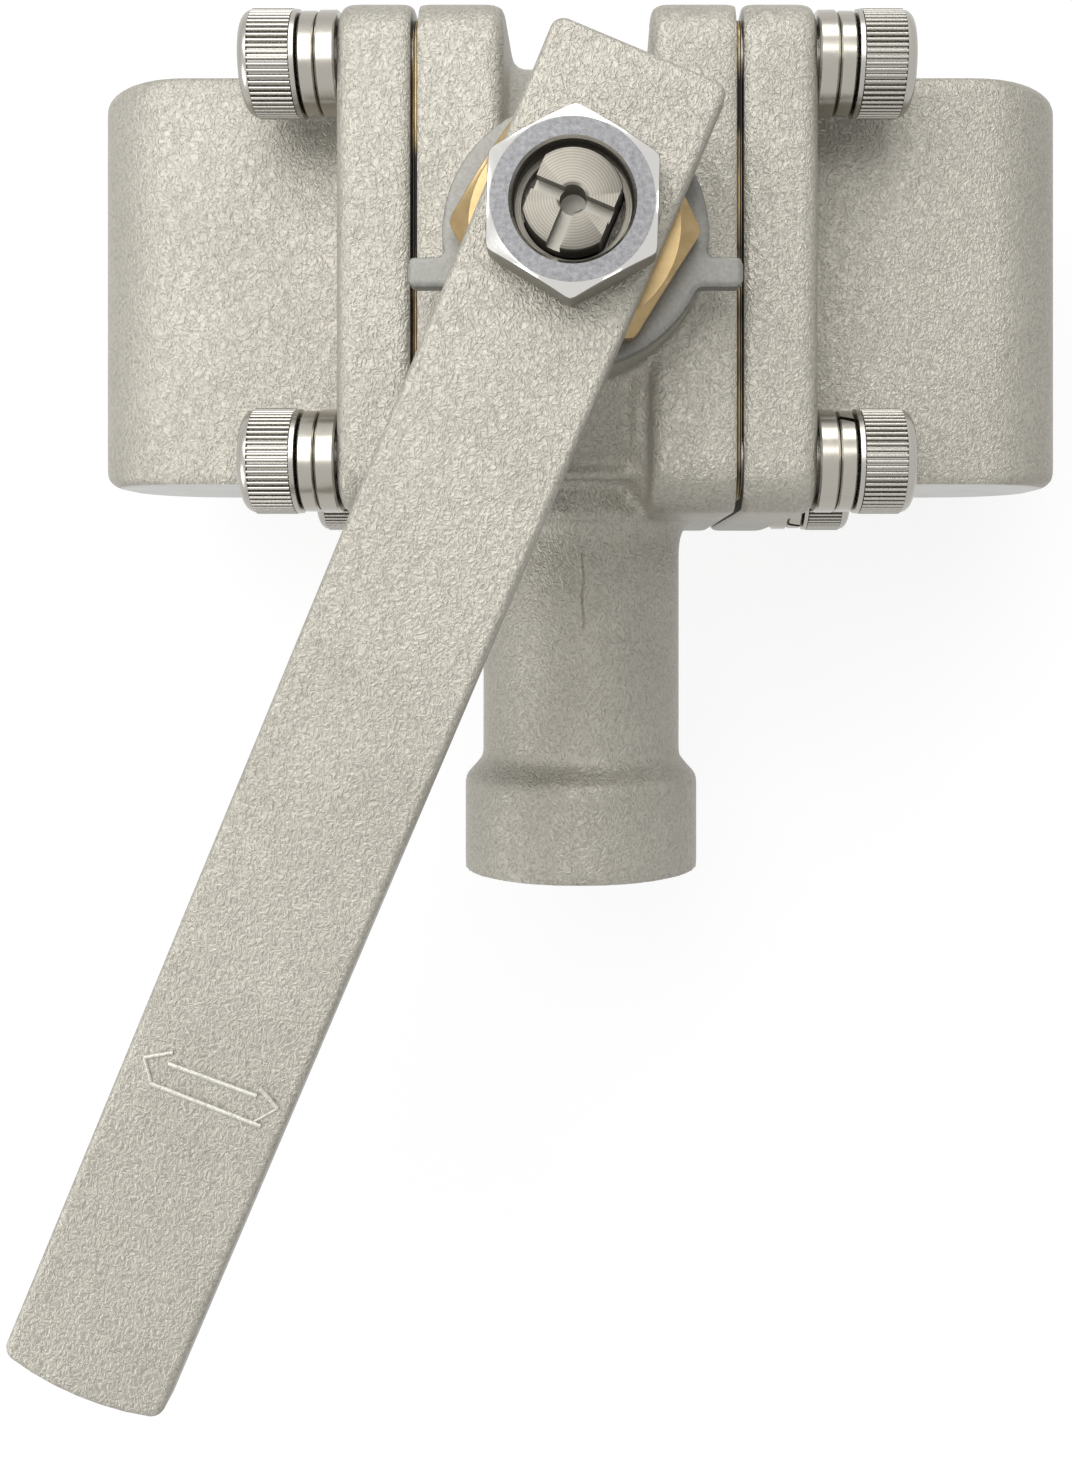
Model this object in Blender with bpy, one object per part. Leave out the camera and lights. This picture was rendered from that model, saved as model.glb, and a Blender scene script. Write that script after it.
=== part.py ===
"""Cryogenic three-way ball valve, lying on the backs of its flanges.

Metres. +Z is the stem's axis, +X runs from the left end cap to the right one, and the inlet
branch points to -Y. The origin is on the stem's axis, on the plane that the valve rests on.
"""

import math

import bmesh
import bpy
from mathutils import Matrix, Vector

# Clearances
SEAT_GAP = 0.0003
TURNING_GAP = 0.0003
STOP_GAP = 0.0003

# Square flanges of the body and of the end caps
FLANGE_SIDE = 0.104
FLANGE_CORNER = 0.009
CORNER_LEAST_SHARE = 0.33
BODY_FLANGE_SPACE = 0.0294
BODY_FLANGE_THICK = 0.0172
BODY_FLANGE_INNER_ROUND = 0.005
BODY_FLANGE_FACE_ROUND = 0.0006
CAP_FLANGE_THICK = 0.0150
CAP_FLANGE_OUTER_ROUND = 0.0028
CAP_FLANGE_FACE_ROUND = 0.0018

# Body casting
BARREL_INSET = 0.0008
BOSS_RADIUS = 0.0252
BOSS_RISE = 0.010
FOOT_RADIUS = 0.020
BRANCH_RADIUS = 0.0228
BRANCH_ROOT_RADIUS = 0.0275
BRANCH_ROOT_LENGTH = 0.010
BRANCH_LENGTH = 0.1316
BRANCH_SOCKET_RADIUS = 0.0269
BRANCH_SOCKET_LENGTH = 0.0210
BRANCH_SHOULDER = 0.0045
BRANCH_BORE_RADIUS = 0.016
INLET_THREAD_RADIUS = 0.0195
INLET_THREAD_DEPTH = 0.027
CASTING_ROUND = 0.0012

# Elbow blocks of the end caps
BLOCK_LENGTH = 0.0596
BLOCK_HEIGHT = 0.089
BLOCK_DEPTH = 0.047
BLOCK_SIDE_ROUND = 0.018
BLOCK_CORNER_REACH = 0.0106
BLOCK_CORNER_DROP = 0.0066
BLOCK_FOOT_SHARE = 0.55
BLOCK_EDGE_ROUND = 0.0015
PORT_FROM_FLANGE = 0.0300
OUTLET_THREAD_RADIUS = 0.0154
OUTLET_THREAD_DEPTH = 0.022
PORT_CHAMFER = 0.0018
ELBOW_BEND_RADIUS = 0.020

# Ball, seats and passages
PORT_RADIUS = 0.014
BALL_RADIUS = 0.0255
CHAMBER_RADIUS = 0.030
SEAT_FACE_X = 0.0155
SEAT_LENGTH = 0.0095
BALL_SLOT_FLOOR = 0.0035

# Gaskets
GASKET_THICK = 0.0009
GASKET_INSET = 0.0015

# Stem and packing
STEM_RADIUS = 0.009
STEM_ACROSS_FLATS = 0.0145
STEM_ABOVE_NUT = 0.0008
SHOULDER_RADIUS = 0.0125
SHOULDER_LIFT = 0.0008
SHOULDER_THICK = 0.004
TONGUE_WIDTH = 0.0074
TONGUE_LENGTH = 0.016
STEM_SLOT_WIDTH = 0.0025
STEM_SLOT_DEPTH = 0.003
STEM_HOLE_RADIUS = 0.0024
STEM_HOLE_DEPTH = 0.007
STEM_CHAMFER = 0.0006
THRUST_WASHER_THICK = 0.0012
STEM_GUIDE_LENGTH = 0.004
PACKING_BOX_RADIUS = 0.014
PACKING_RING_HEIGHT = 0.0032
FOLLOWER_HEIGHT = 0.0036
DISC_SPRING_THICK = 0.0012
DISC_SPRING_CONE = 0.0007

# Stop plate, gland nut, lever and stem nut
STOP_PLATE_THICK = 0.0047
STOP_DISC_RADIUS = 0.0254
STOP_TAB_REACH = 0.0318
STOP_TAB_HEIGHT = 0.0057
STOP_TAB_ROUND = 0.0012
DOWEL_RADIUS = 0.0015
DOWEL_DEPTH = 0.005
GLAND_ACROSS_FLATS = 0.0410
GLAND_HEX_HEIGHT = 0.0069
LEVER_THICK = 0.0078
LEVER_TAIL_REACH = 0.032
LEVER_TIP_REACH = 0.2306
LEVER_TAIL_WIDTH = 0.034
LEVER_TIP_WIDTH = 0.0307
LEVER_END_BULGE = 0.002
LEVER_BULGE_SHARES = (-0.5, 0, 0.5)
LEVER_CORNER = 0.0024
LEVER_EDGE_ROUND = 0.0015
LUG_WIDTH = 0.0084
LUG_THICK = 0.0049
LUG_FROM_DISC = 0.0009
LUG_LIFT = 0.0012
NUT_ACROSS_FLATS = 0.0300
NUT_HEIGHT = 0.0091
NUT_MOUTH_RADIUS = 0.0108
NUT_MOUTH_DEPTH = 0.006
NUT_CHAMFER_SLOPE = 0.55
NUT_FACE_SHARE = 0.975
NUT_TRIM_SPACE = 1.02

# Cap screws and their washers
BOLT_FROM_EDGE = 0.011
SCREW_RADIUS = 0.007
SCREW_LENGTH = 0.035
SCREW_HEAD_RADIUS = 0.0109
SCREW_HEAD_HEIGHT = 0.012
SCREW_HEAD_CHAMFER = 0.0008
SCREW_SOCKET_FLATS = 0.012
SCREW_SOCKET_DEPTH = 0.007
SCREW_HOLE_SPACE = 0.00075
TAPPED_HOLE_RUNOUT = 0.002
FLAT_WASHER_RADIUS = 0.0106
FLAT_WASHER_THICK = 0.004
LOCK_WASHER_RADIUS = 0.0104
LOCK_WASHER_THICK = 0.0032
LOCK_WASHER_SPLIT = 0.0012

# Angles in degrees, positive anticlockwise seen from above
LEVER_REST_TURN = -22.8
GLAND_TURN = -2.2
NUT_TURN = -1.7

# Facets of a full circle
BIG_ROUND = 32
ROUND = 24
SMALL_ROUND = 16
CORNER_STEPS = 4
EDGE_STEPS = 2
ELBOW_STEPS = 5
BLOCK_STEPS = 5

# Places along X, from the middle of the body to one end
body_flange_x = BODY_FLANGE_SPACE / 2
body_face_x = body_flange_x + BODY_FLANGE_THICK
cap_face_x = body_face_x + GASKET_THICK + 2 * SEAT_GAP
cap_outer_x = cap_face_x + CAP_FLANGE_THICK
block_end_x = cap_outer_x + BLOCK_LENGTH
port_x = cap_outer_x + PORT_FROM_FLANGE
seat_back_x = SEAT_FACE_X + SEAT_LENGTH
spigot_end_x = seat_back_x + SEAT_GAP
flat_washer_x = cap_outer_x + SEAT_GAP
lock_washer_x = flat_washer_x + FLAT_WASHER_THICK + SEAT_GAP
screw_head_x = lock_washer_x + LOCK_WASHER_THICK + SEAT_GAP
screw_end_x = screw_head_x - SCREW_LENGTH

# Heights up the stem's axis
run_z = FLANGE_SIDE / 2
ball_top_z = run_z + BALL_RADIUS
slot_floor_z = run_z + PORT_RADIUS + BALL_SLOT_FLOOR
shoulder_z = ball_top_z + SHOULDER_LIFT
thrust_washer_z = shoulder_z + SHOULDER_THICK + SEAT_GAP
recess_top_z = thrust_washer_z + THRUST_WASHER_THICK + SEAT_GAP
packing_floor_z = recess_top_z + STEM_GUIDE_LENGTH
ring_pitch = PACKING_RING_HEIGHT + SEAT_GAP
follower_z = packing_floor_z + SEAT_GAP + 3 * ring_pitch
spring_z = follower_z + FOLLOWER_HEIGHT + SEAT_GAP
spring_height = DISC_SPRING_THICK + DISC_SPRING_CONE
gland_end_z = spring_z + 2 * (spring_height + SEAT_GAP)
boss_top_z = FLANGE_SIDE + BOSS_RISE
stop_plate_z = boss_top_z + SEAT_GAP
gland_z = stop_plate_z + STOP_PLATE_THICK + SEAT_GAP
lever_z = gland_z + GLAND_HEX_HEIGHT + SEAT_GAP
nut_z = lever_z + LEVER_THICK + SEAT_GAP
nut_top_z = nut_z + NUT_HEIGHT
stem_top_z = nut_top_z + STEM_ABOVE_NUT

# Radii and distances that follow from the sizes above
barrel_radius = FLANGE_SIDE / 2 - BARREL_INSET
bolt_from_middle = FLANGE_SIDE / 2 - BOLT_FROM_EDGE
stem_hole_radius = STEM_RADIUS + TURNING_GAP
box_filler_radius = PACKING_BOX_RADIUS - SEAT_GAP
spigot_radius = CHAMBER_RADIUS - SEAT_GAP
lug_inner_radius = STOP_DISC_RADIUS + LUG_FROM_DISC

ALONG_X = Vector((1, 0, 0))
ALONG_Y = Vector((0, 1, 0))

FINISHES = {
    "cast stainless": ((0.62, 0.58, 0.53), 0.48, 0.9),
    "machined stainless": ((0.66, 0.65, 0.63), 0.3, 1.0),
    "bright steel": ((0.60, 0.61, 0.62), 0.22, 1.0),
    "brass": ((0.72, 0.52, 0.22), 0.28, 1.0),
    "grey cast plate": ((0.42, 0.43, 0.44), 0.5, 0.8),
    "laminated gasket": ((0.42, 0.30, 0.16), 0.6, 0.3),
    "PTFE": ((0.88, 0.88, 0.86), 0.45, 0.0),
    "graphite": ((0.06, 0.06, 0.065), 0.55, 0.1),
    "spring steel": ((0.36, 0.36, 0.37), 0.35, 1.0),
}


def clear_scene():
    for thing in list(bpy.data.objects):
        bpy.data.objects.remove(thing, do_unlink=True)


def make_object(name, shape):
    """Turn a bmesh into an object of the scene."""
    mesh = bpy.data.meshes.new(name)
    shape.to_mesh(mesh)
    shape.free()
    thing = bpy.data.objects.new(name, mesh)
    bpy.context.scene.collection.objects.link(thing)
    return thing


def lofted(name, sections):
    """A solid through outlines of equal point counts, closed flat at both ends."""
    shape = bmesh.new()
    rows = [[shape.verts.new(point) for point in section] for section in sections]
    for row, following in zip(rows, rows[1:]):
        for i in range(len(row)):
            j = (i + 1) % len(row)
            shape.faces.new((row[i], row[j], following[j], following[i]))
    shape.faces.new(rows[0])
    shape.faces.new(rows[-1])
    bmesh.ops.recalc_face_normals(shape, faces=shape.faces)
    return make_object(name, shape)


def turned(name, profile, facets):
    """A solid of revolution about Z, from (radius, height) points once round its section."""
    shape = bmesh.new()
    points = [shape.verts.new((radius, 0, height)) for radius, height in profile]
    edges = []
    for i, point in enumerate(points):
        following = points[(i + 1) % len(points)]
        if point.co.x > 0 or following.co.x > 0:
            edges.append(shape.edges.new((point, following)))
    bmesh.ops.spin(shape, geom=points + edges, cent=(0, 0, 0), axis=(0, 0, 1), dvec=(0, 0, 0),
                   angle=2 * math.pi, steps=facets, use_merge=True)
    bmesh.ops.remove_doubles(shape, verts=shape.verts, dist=0.000001)
    bmesh.ops.recalc_face_normals(shape, faces=shape.faces)
    return make_object(name, shape)


def rod(name, radius, low, high, facets):
    """A plain cylinder about Z."""
    return turned(name, [(0, low), (radius, low), (radius, high), (0, high)], facets)


def ring(name, inner, outer, low, high, facets):
    """A plain washer or tube about Z."""
    return turned(name, [(inner, low), (outer, low), (outer, high), (inner, high)], facets)


def block(name, corner, opposite):
    """A rectangular block between any two opposite corners."""
    shape = bmesh.new()
    bmesh.ops.create_cube(shape, size=1)
    corner, opposite = Vector(corner), Vector(opposite)
    size = [abs(length) for length in opposite - corner]
    bmesh.ops.scale(shape, vec=size, verts=shape.verts)
    bmesh.ops.translate(shape, vec=(corner + opposite) / 2, verts=shape.verts)
    return make_object(name, shape)


def inset_corners(corners, inset):
    """Corners of a convex outline, each edge moved inwards by the inset."""
    moved = []
    count = len(corners)
    for i in range(count):
        before, here, after = corners[i - 1], corners[i], corners[(i + 1) % count]
        arriving = (here - before).normalized()
        leaving = (after - here).normalized()
        inward_a = Vector((-arriving.y, arriving.x))
        inward_b = Vector((-leaving.y, leaving.x))
        middle = (inward_a + inward_b).normalized()
        moved.append(here + middle * inset / middle.dot(inward_a))
    return moved


def rounded_outline(corners, radii, steps):
    """An anticlockwise outline with an arc at each corner that has a radius, hollow ones too."""
    outline = []
    count = len(corners)
    for i in range(count):
        here = corners[i]
        radius = radii[i]
        if radius <= 0:
            outline.append(here)
            continue
        back = (corners[i - 1] - here).normalized()
        ahead = (corners[(i + 1) % count] - here).normalized()
        half = back.angle(ahead) / 2
        centre = here + (back + ahead).normalized() * radius / math.sin(half)
        start = here + back * radius / math.tan(half) - centre
        sweep = math.copysign(math.pi - 2 * half, ahead.cross(back))
        for step in range(steps + 1):
            outline.append(centre + turned_point(start, sweep * step / steps))
    return outline


def turned_point(point, angle):
    """A flat point turned anticlockwise about the origin."""
    cosine, sine = math.cos(angle), math.sin(angle)
    return Vector((point.x * cosine - point.y * sine, point.x * sine + point.y * cosine))


def rectangle(half_width, half_height):
    return [Vector((-half_width, -half_height)), Vector((half_width, -half_height)),
            Vector((half_width, half_height)), Vector((-half_width, half_height))]


def quarter_steps(radius, steps):
    """(inset, travel) pairs of a rounded edge, from the face to the side."""
    pairs = []
    for step in range(steps + 1):
        angle = math.pi / 2 * step / steps
        pairs.append((radius * (1 - math.sin(angle)), radius * (1 - math.cos(angle))))
    return pairs


def rounded_plate(name, corners, corner_radius, thick, low_round, high_round, steps):
    """A plate from z = 0 up, with round corners and a rounded edge on each face."""
    levels = [(inset, travel) for inset, travel in quarter_steps(low_round, steps)]
    levels += [(inset, thick - travel) for inset, travel in reversed(quarter_steps(high_round, steps))]
    sections = []
    for inset, height in levels:
        radius = max(corner_radius - inset, corner_radius * CORNER_LEAST_SHARE)
        radii = [radius] * 4 + [0] * (len(corners) - 4)
        flat = rounded_outline(inset_corners(corners, inset), radii, CORNER_STEPS)
        sections.append([Vector((point.x, point.y, height)) for point in flat])
    return lofted(name, sections)


def hexagon(across_flats, turn):
    """Corners of a hexagon, the first at the given angle from +X, in degrees."""
    radius = across_flats / math.sqrt(3)
    start = Vector((radius, 0))
    return [turned_point(start, math.radians(turn + 60 * i)) for i in range(6)]


def prism(name, outline, low, high):
    """An upright prism on a flat outline."""
    sections = [[Vector((point.x, point.y, height)) for point in outline] for height in (low, high)]
    return lofted(name, sections)


def double_d(radius, across_flats, facets):
    """A circle with two flats parallel to Y."""
    reach = math.asin(across_flats / 2 / radius)
    outline = []
    for start in (math.pi / 2 - reach, 1.5 * math.pi - reach):
        for step in range(facets // 2 + 1):
            angle = start + 2 * reach * step / (facets // 2)
            outline.append(Vector((radius * math.cos(angle), radius * math.sin(angle))))
    return outline


def aim(thing, direction, place=(0, 0, 0)):
    """Turn a mesh from +Z to a direction and move it to a place."""
    turn = Vector((0, 0, 1)).rotation_difference(direction).to_matrix().to_4x4()
    thing.data.transform(Matrix.Translation(place) @ turn)
    return thing


def combine(thing, tools, operation):
    """Join, cut or trim a piece with tools, which are used up."""
    for tool in tools:
        step = thing.modifiers.new(f"{operation.lower()} {tool.name}", "BOOLEAN")
        step.operation = operation
        step.solver = "EXACT"
        step.object = tool
    graph = bpy.context.evaluated_depsgraph_get()
    mesh = bpy.data.meshes.new_from_object(thing.evaluated_get(graph))
    thing.modifiers.clear()
    thing.data = mesh
    for tool in tools:
        bpy.data.objects.remove(tool, do_unlink=True)
    return thing


def join(thing, *tools):
    return combine(thing, tools, "UNION")


def cut(thing, *tools):
    return combine(thing, tools, "DIFFERENCE")


def trim(thing, *tools):
    return combine(thing, tools, "INTERSECT")


def finish(thing, name):
    """Give a piece its material and smooth its round faces."""
    colour, roughness, metallic = FINISHES[name]
    material = bpy.data.materials.new(f"{thing.name} {name}")
    material.use_nodes = True
    shader = material.node_tree.nodes["Principled BSDF"]
    shader.inputs["Base Color"].default_value = (*colour, 1)
    shader.inputs["Roughness"].default_value = roughness
    shader.inputs["Metallic"].default_value = metallic
    thing.data.materials.clear()
    thing.data.materials.append(material)
    thing.data.shade_smooth()
    thing.data.set_sharp_from_angle(angle=math.radians(35))
    return thing


def bolt_places():
    """Y and Z of the four bolts of a flange, with a name for each."""
    half = bolt_from_middle
    for row, y in (("upper", half), ("lower", -half)):
        for layer, z in (("front", half), ("back", -half)):
            yield f"{row}_{layer}", y, run_z + z


def bolt_holes(side, radius, low, high):
    """Cutters for the four bolt holes of one flange, between two distances along X."""
    holes = []
    for place, y, z in bolt_places():
        hole = rod(f"hole {place}", radius, low, high, SMALL_ROUND)
        holes.append(aim(hole, side * ALONG_X, (0, y, z)))
    return holes


def make_flange(name, side, start, thick, near_round, far_round):
    """A square flange plate whose face nearest the body's middle is at the start."""
    corners = rectangle(FLANGE_SIDE / 2, FLANGE_SIDE / 2)
    plate = rounded_plate(name, corners, FLANGE_CORNER, thick, near_round, far_round, EDGE_STEPS)
    return aim(plate, side * ALONG_X, (side * start, 0, run_z))


def make_branch():
    """The inlet branch: a root flare, a tube and a larger socket end."""
    root = FLANGE_SIDE / 2
    shoulder = BRANCH_LENGTH - BRANCH_SOCKET_LENGTH
    profile = [(0, 0), (BRANCH_ROOT_RADIUS, 0), (BRANCH_ROOT_RADIUS, root - CASTING_ROUND)]
    flare = BRANCH_ROOT_RADIUS - BRANCH_RADIUS
    for inset, travel in quarter_steps(1, EDGE_STEPS):
        profile.append((BRANCH_ROOT_RADIUS - flare * (1 - inset), root + BRANCH_ROOT_LENGTH * travel))
    profile += [
        (BRANCH_RADIUS, shoulder - BRANCH_SHOULDER),
        (BRANCH_SOCKET_RADIUS, shoulder),
        (BRANCH_SOCKET_RADIUS, BRANCH_LENGTH - CASTING_ROUND),
        (BRANCH_SOCKET_RADIUS - CASTING_ROUND, BRANCH_LENGTH),
        (0, BRANCH_LENGTH),
    ]
    return aim(turned("branch", profile, BIG_ROUND), -ALONG_Y, (0, 0, run_z))


def socket_stations(passage, thread, depth):
    """(distance from the mouth, radius) down a threaded socket with a chamfered mouth."""
    mouth = thread + PORT_CHAMFER
    return [(PORT_CHAMFER, mouth), (0, mouth), (-PORT_CHAMFER, thread), (-depth, thread),
            (-depth - (thread - passage) / 2, passage)]


def make_inlet_cutter():
    """The straight passage and threaded socket of the inlet."""
    stations = socket_stations(BRANCH_BORE_RADIUS, INLET_THREAD_RADIUS, INLET_THREAD_DEPTH)
    profile = [(0, PORT_CHAMFER)] + [(radius, place) for place, radius in stations]
    profile += [(BRANCH_BORE_RADIUS, -BRANCH_LENGTH), (0, -BRANCH_LENGTH)]
    return aim(turned("inlet", profile, BIG_ROUND), -ALONG_Y, (0, -BRANCH_LENGTH, run_z))


def make_elbow_cutter(side):
    """The bent passage from a seat to the threaded outlet of an end cap."""
    bend_x = port_x - ELBOW_BEND_RADIUS
    stations = [(0, 0, 0, PORT_RADIUS)]
    for step in range(ELBOW_STEPS + 1):
        angle = math.pi / 2 * step / ELBOW_STEPS
        stations.append((bend_x + ELBOW_BEND_RADIUS * math.sin(angle),
                         ELBOW_BEND_RADIUS * (1 - math.cos(angle)), angle, PORT_RADIUS))
    for place, radius in reversed(socket_stations(PORT_RADIUS, OUTLET_THREAD_RADIUS,
                                                  OUTLET_THREAD_DEPTH)):
        stations.append((port_x, BLOCK_HEIGHT / 2 + place, math.pi / 2, radius))
    sections = []
    for x, y, angle, radius in stations:
        section = []
        for facet in range(ROUND):
            around = turned_point(Vector((radius, 0)), 2 * math.pi * facet / ROUND)
            section.append(Vector((side * (x - around.x * math.sin(angle)),
                                   y + around.x * math.cos(angle), run_z + around.y)))
        sections.append(section)
    return lofted("elbow", sections)


def make_body():
    """The cast body: barrel, two flanges, bonnet boss, foot and branch, with its bores."""
    body = make_flange("body", 1, body_flange_x, BODY_FLANGE_THICK,
                       BODY_FLANGE_INNER_ROUND, BODY_FLANGE_FACE_ROUND)
    left = make_flange("left flange", -1, body_flange_x, BODY_FLANGE_THICK,
                       BODY_FLANGE_INNER_ROUND, BODY_FLANGE_FACE_ROUND)
    middle = body_flange_x + BODY_FLANGE_THICK / 2
    barrel = aim(rod("barrel", barrel_radius, -middle, middle, BIG_ROUND), ALONG_X, (0, 0, run_z))
    boss_profile = [(0, run_z), (BOSS_RADIUS, run_z), (BOSS_RADIUS, boss_top_z), (0, boss_top_z)]
    boss = turned("boss", boss_profile, BIG_ROUND)
    foot = rod("foot", FOOT_RADIUS, 0, run_z / 2, BIG_ROUND)
    join(body, left, barrel, boss, foot, make_branch())
    chamber = aim(rod("chamber", CHAMBER_RADIUS, -cap_face_x, cap_face_x, BIG_ROUND),
                  ALONG_X, (0, 0, run_z))
    recess_radius = SHOULDER_RADIUS + SEAT_GAP
    bonnet_profile = [(0, run_z), (recess_radius, run_z), (recess_radius, recess_top_z),
                      (stem_hole_radius, recess_top_z), (stem_hole_radius, packing_floor_z),
                      (PACKING_BOX_RADIUS, packing_floor_z),
                      (PACKING_BOX_RADIUS, boss_top_z + BOSS_RISE), (0, boss_top_z + BOSS_RISE)]
    bonnet_bore = turned("bonnet bore", bonnet_profile, ROUND)
    cut(body, chamber, make_inlet_cutter(), bonnet_bore)
    hole_end = screw_end_x - TAPPED_HOLE_RUNOUT
    for side in (1, -1):
        cut(body, *bolt_holes(side, SCREW_RADIUS + SEAT_GAP, hole_end, cap_outer_x))
    cut(body, *[dowel_hole(side, boss_top_z - DOWEL_DEPTH, boss_top_z + DOWEL_DEPTH)
                for side in (1, -1)])
    return finish(body, "cast stainless")


def dowel_place(side):
    """Centre of a stop dowel, between the packing box and the edge of the boss."""
    return side * (PACKING_BOX_RADIUS + BOSS_RADIUS) / 2


def dowel_hole(side, low, high):
    hole = rod("dowel hole", DOWEL_RADIUS + SEAT_GAP, low, high, SMALL_ROUND)
    return aim(hole, Vector((0, 0, 1)), (dowel_place(side), 0, 0))


def make_elbow_block(side):
    """The tall block of an end cap: round outer edges, corners that fall away, flat ends."""
    half = BLOCK_HEIGHT / 2
    levels = []
    for inset, travel in quarter_steps(1, CORNER_STEPS):
        levels.append((-half + BLOCK_CORNER_DROP * travel * BLOCK_FOOT_SHARE,
                       BLOCK_CORNER_REACH * inset * BLOCK_FOOT_SHARE, 0))
    for inset, travel in reversed(quarter_steps(1, CORNER_STEPS)):
        levels.append((half - BLOCK_CORNER_DROP * travel, BLOCK_CORNER_REACH * inset,
                       BLOCK_EDGE_ROUND * inset))
    inner = cap_outer_x - CAP_FLANGE_THICK / 2
    sections = []
    for y, end_inset, face_inset in levels:
        depth = BLOCK_DEPTH / 2 - face_inset
        end = block_end_x - end_inset
        corners = [Vector((inner, -depth)), Vector((end, -depth)),
                   Vector((end, depth)), Vector((inner, depth))]
        radii = [0, BLOCK_SIDE_ROUND, BLOCK_SIDE_ROUND, 0]
        flat = rounded_outline(corners, radii, BLOCK_STEPS)
        sections.append([Vector((side * point.x, y, run_z + point.y)) for point in flat])
    return lofted("elbow block", sections)


def make_end_cap(name, side):
    """An end cap: flange plate, elbow block and a spigot that holds the seat."""
    cap = make_flange(name, side, cap_face_x, CAP_FLANGE_THICK,
                      CAP_FLANGE_FACE_ROUND, CAP_FLANGE_OUTER_ROUND)
    spigot = rod("spigot", spigot_radius, spigot_end_x, cap_face_x + CAP_FLANGE_THICK / 3, BIG_ROUND)
    join(cap, make_elbow_block(side), aim(spigot, side * ALONG_X, (0, 0, run_z)))
    holes = bolt_holes(side, SCREW_RADIUS + SCREW_HOLE_SPACE, body_face_x, screw_head_x)
    cut(cap, make_elbow_cutter(side))
    cut(cap, *holes)
    # Room for the heads, where the flange is small enough for them to reach the block
    cut(cap, *bolt_holes(side, SCREW_HEAD_RADIUS + SCREW_HOLE_SPACE, flat_washer_x, block_end_x))
    return finish(cap, "cast stainless")


def make_gasket(name, side):
    """A thin laminated gasket, a little smaller than the flanges."""
    half = FLANGE_SIDE / 2 - GASKET_INSET
    outline = rounded_outline(rectangle(half, half), [FLANGE_CORNER - GASKET_INSET] * 4, CORNER_STEPS)
    gasket = aim(prism(name, outline, 0, GASKET_THICK), side * ALONG_X,
                 (side * (body_face_x + SEAT_GAP), 0, run_z))
    middle = aim(rod("middle hole", spigot_radius + SEAT_GAP, body_flange_x, cap_outer_x, BIG_ROUND),
                 side * ALONG_X, (0, 0, run_z))
    holes = bolt_holes(side, SCREW_RADIUS + SCREW_HOLE_SPACE, body_flange_x, cap_outer_x)
    cut(gasket, middle, *holes)
    return finish(gasket, "laminated gasket")


def make_seat(name, side):
    """A seat ring whose inner face follows the ball."""
    ball_face = BALL_RADIUS + TURNING_GAP
    inner = PORT_RADIUS + SEAT_GAP
    inner_angle = math.asin(inner / ball_face)
    outer_angle = math.acos(SEAT_FACE_X / ball_face)
    profile = [(spigot_radius, SEAT_FACE_X), (spigot_radius, seat_back_x), (inner, seat_back_x)]
    for step in range(CORNER_STEPS + 1):
        angle = inner_angle + (outer_angle - inner_angle) * step / CORNER_STEPS
        profile.append((ball_face * math.sin(angle), ball_face * math.cos(angle)))
    return finish(aim(turned(name, profile, ROUND), side * ALONG_X, (0, 0, run_z)), "PTFE")


def make_ball():
    """The T-port ball: a bar right through, a leg under the handle and a slot for the stem."""
    shape = bmesh.new()
    bmesh.ops.create_uvsphere(shape, u_segments=ROUND, v_segments=ROUND // 2,
                              radius=BALL_RADIUS)
    bmesh.ops.translate(shape, vec=(0, 0, run_z), verts=shape.verts)
    ball = make_object("ball", shape)
    reach = 2 * BALL_RADIUS
    bar = aim(rod("bar", PORT_RADIUS, -reach, reach, ROUND), ALONG_X, (0, 0, run_z))
    leg = aim(rod("leg", PORT_RADIUS, 0, reach, ROUND), -ALONG_Y, (0, 0, run_z))
    half_slot = TONGUE_WIDTH / 2 + TURNING_GAP
    slot = block("slot", (-half_slot, -reach, slot_floor_z), (half_slot, reach, run_z + reach))
    cut(ball, bar)
    cut(ball, leg, slot)
    return finish(ball, "machined stainless")


def make_stem():
    """The stem: tongue, shoulder that can't blow out, and a slotted double-D end."""
    profile = [(0, shoulder_z), (SHOULDER_RADIUS, shoulder_z),
               (SHOULDER_RADIUS, shoulder_z + SHOULDER_THICK),
               (STEM_RADIUS, shoulder_z + SHOULDER_THICK),
               (STEM_RADIUS, stem_top_z - STEM_CHAMFER),
               (STEM_RADIUS - STEM_CHAMFER, stem_top_z), (0, stem_top_z)]
    stem = turned("stem", profile, ROUND)
    tongue = block("tongue", (-TONGUE_WIDTH / 2, -TONGUE_LENGTH / 2, slot_floor_z + SEAT_GAP),
                   (TONGUE_WIDTH / 2, TONGUE_LENGTH / 2, shoulder_z + SHOULDER_THICK / 2))
    join(stem, tongue)
    reach = 2 * STEM_RADIUS
    above = stem_top_z + STEM_ABOVE_NUT
    flats = [block("flat", (side * STEM_ACROSS_FLATS / 2, -reach, lever_z - SEAT_GAP),
                   (side * reach, reach, above)) for side in (1, -1)]
    half = STEM_SLOT_WIDTH / 2
    slot_floor = stem_top_z - STEM_SLOT_DEPTH
    across = block("slot across", (-reach, -half, slot_floor), (reach, half, above))
    along = block("slot along", (-half, -reach, slot_floor), (half, 0, above))
    hole = rod("centre hole", STEM_HOLE_RADIUS, stem_top_z - STEM_HOLE_DEPTH, above, SMALL_ROUND)
    cut(stem, *flats)
    cut(stem, across, along, hole)
    return finish(stem, "machined stainless")


def make_packing_rings():
    names = ("packing_ring_lower", "packing_ring_middle", "packing_ring_upper")
    for place, name in enumerate(names):
        low = packing_floor_z + SEAT_GAP + place * ring_pitch
        packing = ring(name, stem_hole_radius, box_filler_radius, low, low + PACKING_RING_HEIGHT, ROUND)
        finish(packing, "graphite")


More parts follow.
